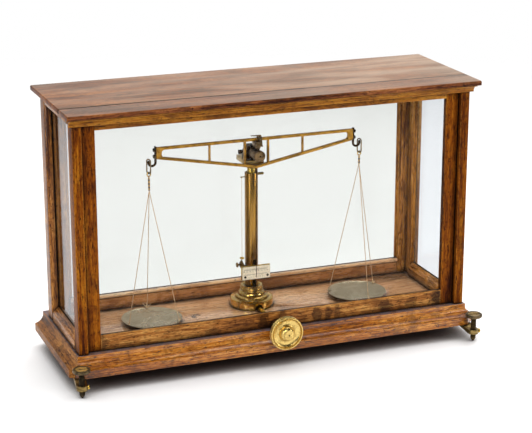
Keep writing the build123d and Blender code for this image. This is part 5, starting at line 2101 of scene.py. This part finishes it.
@dataclass
class Studio:
    """Camera, pale floor, soft lamps and the white background."""

    lens_pixels: float = 1682.5
    frame_width: float = 532.0
    eye: Point = (-592.2, -1551.6, 651.0)
    yaw: float = 21.115
    pitch: float = -17.1
    floor_reach: float = 1.6
    shade_reach: float = 0.12
    floor_glow: float = 0.4
    fill: tuple[float, float] = (0.45, 0.85)
    room: tuple[float, float] = (0.06, 1.0)
    lamps: tuple[Lamp, ...] = (
        Lamp("lamp_above", (0.4, 0.3, 1.6), (1.4, 1.1), 17.5),
        Lamp("lamp_front", (-0.7, -1.7, 1.3), (1.0, 0.7), 14.0),
        Lamp("lamp_left", (-1.3, -1.0, 0.5), (0.25, 0.9), 5.0),
        Lamp("lamp_right", (1.3, -0.9, 0.5), (0.22, 0.9), 6.0),
    )

    def camera(self) -> None:
        """Set the camera at the photograph's viewing angle."""
        data = bpy.data.cameras.new("camera")
        data.sensor_width = 36.0
        data.lens = data.sensor_width * self.lens_pixels / self.frame_width
        data.clip_start = 0.05
        data.clip_end = 20.0
        camera = bpy.data.objects.new("camera", data)
        camera.location = Vector(self.eye) * MM
        camera.rotation_euler = (math.radians(90 + self.pitch), 0, math.radians(-self.yaw))
        bpy.context.scene.collection.objects.link(camera)
        bpy.context.scene.camera = camera

    def floor_finish(self) -> bpy.types.Material:
        """Make the floor's material: pale, with a painted shadow under the case, white in the open and clear
        at its rim.

        Returns:
            The finished material.
        """
        r = Recipe("floor")
        specks = r.speckle(r.place((40.0, 40.0, 40.0)), 1.0, detail=3.0)
        pale = r.mix(specks, tint("#E6E4E4"), tint("#ECECEC"))
        shade = r.add("ShaderNodeAmbientOcclusion", samples=12)
        r.put(shade, "Distance", self.shade_reach)
        # Painted shadow: the floor's colour darkens where the case closes in over it.
        painted_contact_shadow = r.span(shade.outputs["AO"], 0.12, 0.55)
        r.surface(Base_Color=r.mix(painted_contact_shadow, tint("#4A3E3A"), pale), Roughness=0.8, Specular_IOR_Level=0.2)
        lit = r.add("ShaderNodeLightPath").outputs
        straight = r.sum("MAXIMUM", lit["Is Camera Ray"], lit["Is Transmission Ray"])
        seen = r.sum("MAXIMUM", straight, lit["Is Glossy Ray"])
        glow = r.add("ShaderNodeEmission")
        r.put(glow, "Color", WHITE)
        # The glow fades where the case closes in, which also paints the shadow there.
        r.put(glow, "Strength", r.times(seen, r.span(shade.outputs["AO"], 0.4, 0.75), self.floor_glow))
        both = r.add("ShaderNodeAddShader")
        r.put(both, 0, r.shader.outputs[0])
        r.put(both, 1, glow.outputs[0])
        clear = r.add("ShaderNodeBsdfTransparent")
        fade = r.add("ShaderNodeMixShader")
        r.put(fade, 0, r.span(r.length(r.where), 0.55 * self.floor_reach, 0.98 * self.floor_reach))
        r.put(fade, 1, both.outputs[0])
        r.put(fade, 2, clear.outputs[0])
        r.put(r.output, 0, fade.outputs[0])
        return r.material

    def floor(self) -> None:
        """Lay a round floor that keeps the shadow."""
        shape = bmesh.new()
        bmesh.ops.create_circle(shape, cap_ends=True, segments=96, radius=self.floor_reach)
        mesh = bpy.data.meshes.new("floor")
        shape.to_mesh(mesh)
        shape.free()
        mesh.materials.append(self.floor_finish())
        floor = bpy.data.objects.new("floor", mesh)
        bpy.context.scene.collection.objects.link(floor)

    def world(self) -> None:
        """Make the white background, a soft fill for matt surfaces and a dim room for the glossy ones.

        The room is dim in front of the case and white behind it. A ray that leaves the case through its glass
        still sees the white, unless it bounced off something first.
        """
        world = bpy.data.worlds.new("studio")
        bpy.context.scene.world = world
        world.use_nodes = True
        r = Nodes(world.node_tree, "ShaderNodeOutputWorld", "Generated")
        path = r.add("ShaderNodeLightPath").outputs
        straight = r.sum("MAXIMUM", path["Is Camera Ray"], path["Is Transmission Ray"])
        bounced = r.sum("ADD", path["Glossy Depth"], path["Diffuse Depth"])
        backwards = r.part(r.where, "Y")
        level = r.add("ShaderNodeMix", data_type="FLOAT")
        r.put(level, 0, path["Is Glossy Ray"])
        r.put(level, 2, r.span(backwards, -0.5, 0.5, self.fill))
        r.put(level, 3, r.span(backwards, -0.35, 0.25, self.room))
        soft = r.add("ShaderNodeBackground")
        r.put(soft, "Strength", level.outputs[0])
        plain = r.add("ShaderNodeBackground")
        r.put(plain, "Color", WHITE)
        both = r.add("ShaderNodeMixShader")
        r.put(both, 0, r.sum("SUBTRACT", straight, bounced, clamp=True))
        r.put(both, 1, soft.outputs[0])
        r.put(both, 2, plain.outputs[0])
        r.put(r.output, 0, both.outputs[0])

    def make(self) -> None:
        """Set up everything round the object."""
        bpy.context.scene.view_settings.view_transform = "Standard"
        self.camera()
        self.floor()
        self.world()
        for lamp in self.lamps:
            lamp.hang()


def main() -> None:
    """Build the studio, the cords and every sub-assembly, and report each piece."""
    logging.basicConfig(level=logging.INFO, format="%(name)s: %(message)s")
    Studio().make()
    bench = Bench(Finishes())
    Cordage().make(bench)
    assemblies = (
        Joinery(),
        FrontSash(),
        Glazing(),
        Fittings(),
        ArrestKnob(),
        LevellingFeet(),
        BearingHead(),
        Hangings(),
        ScalePlate(),
        ColumnPins(),
    )
    for assembly in assemblies:
        assembly.make(bench)
        log.info("finished %s", type(assembly).__name__)
    bpy.context.view_layer.update()


if __name__ == "__main__":
    main()
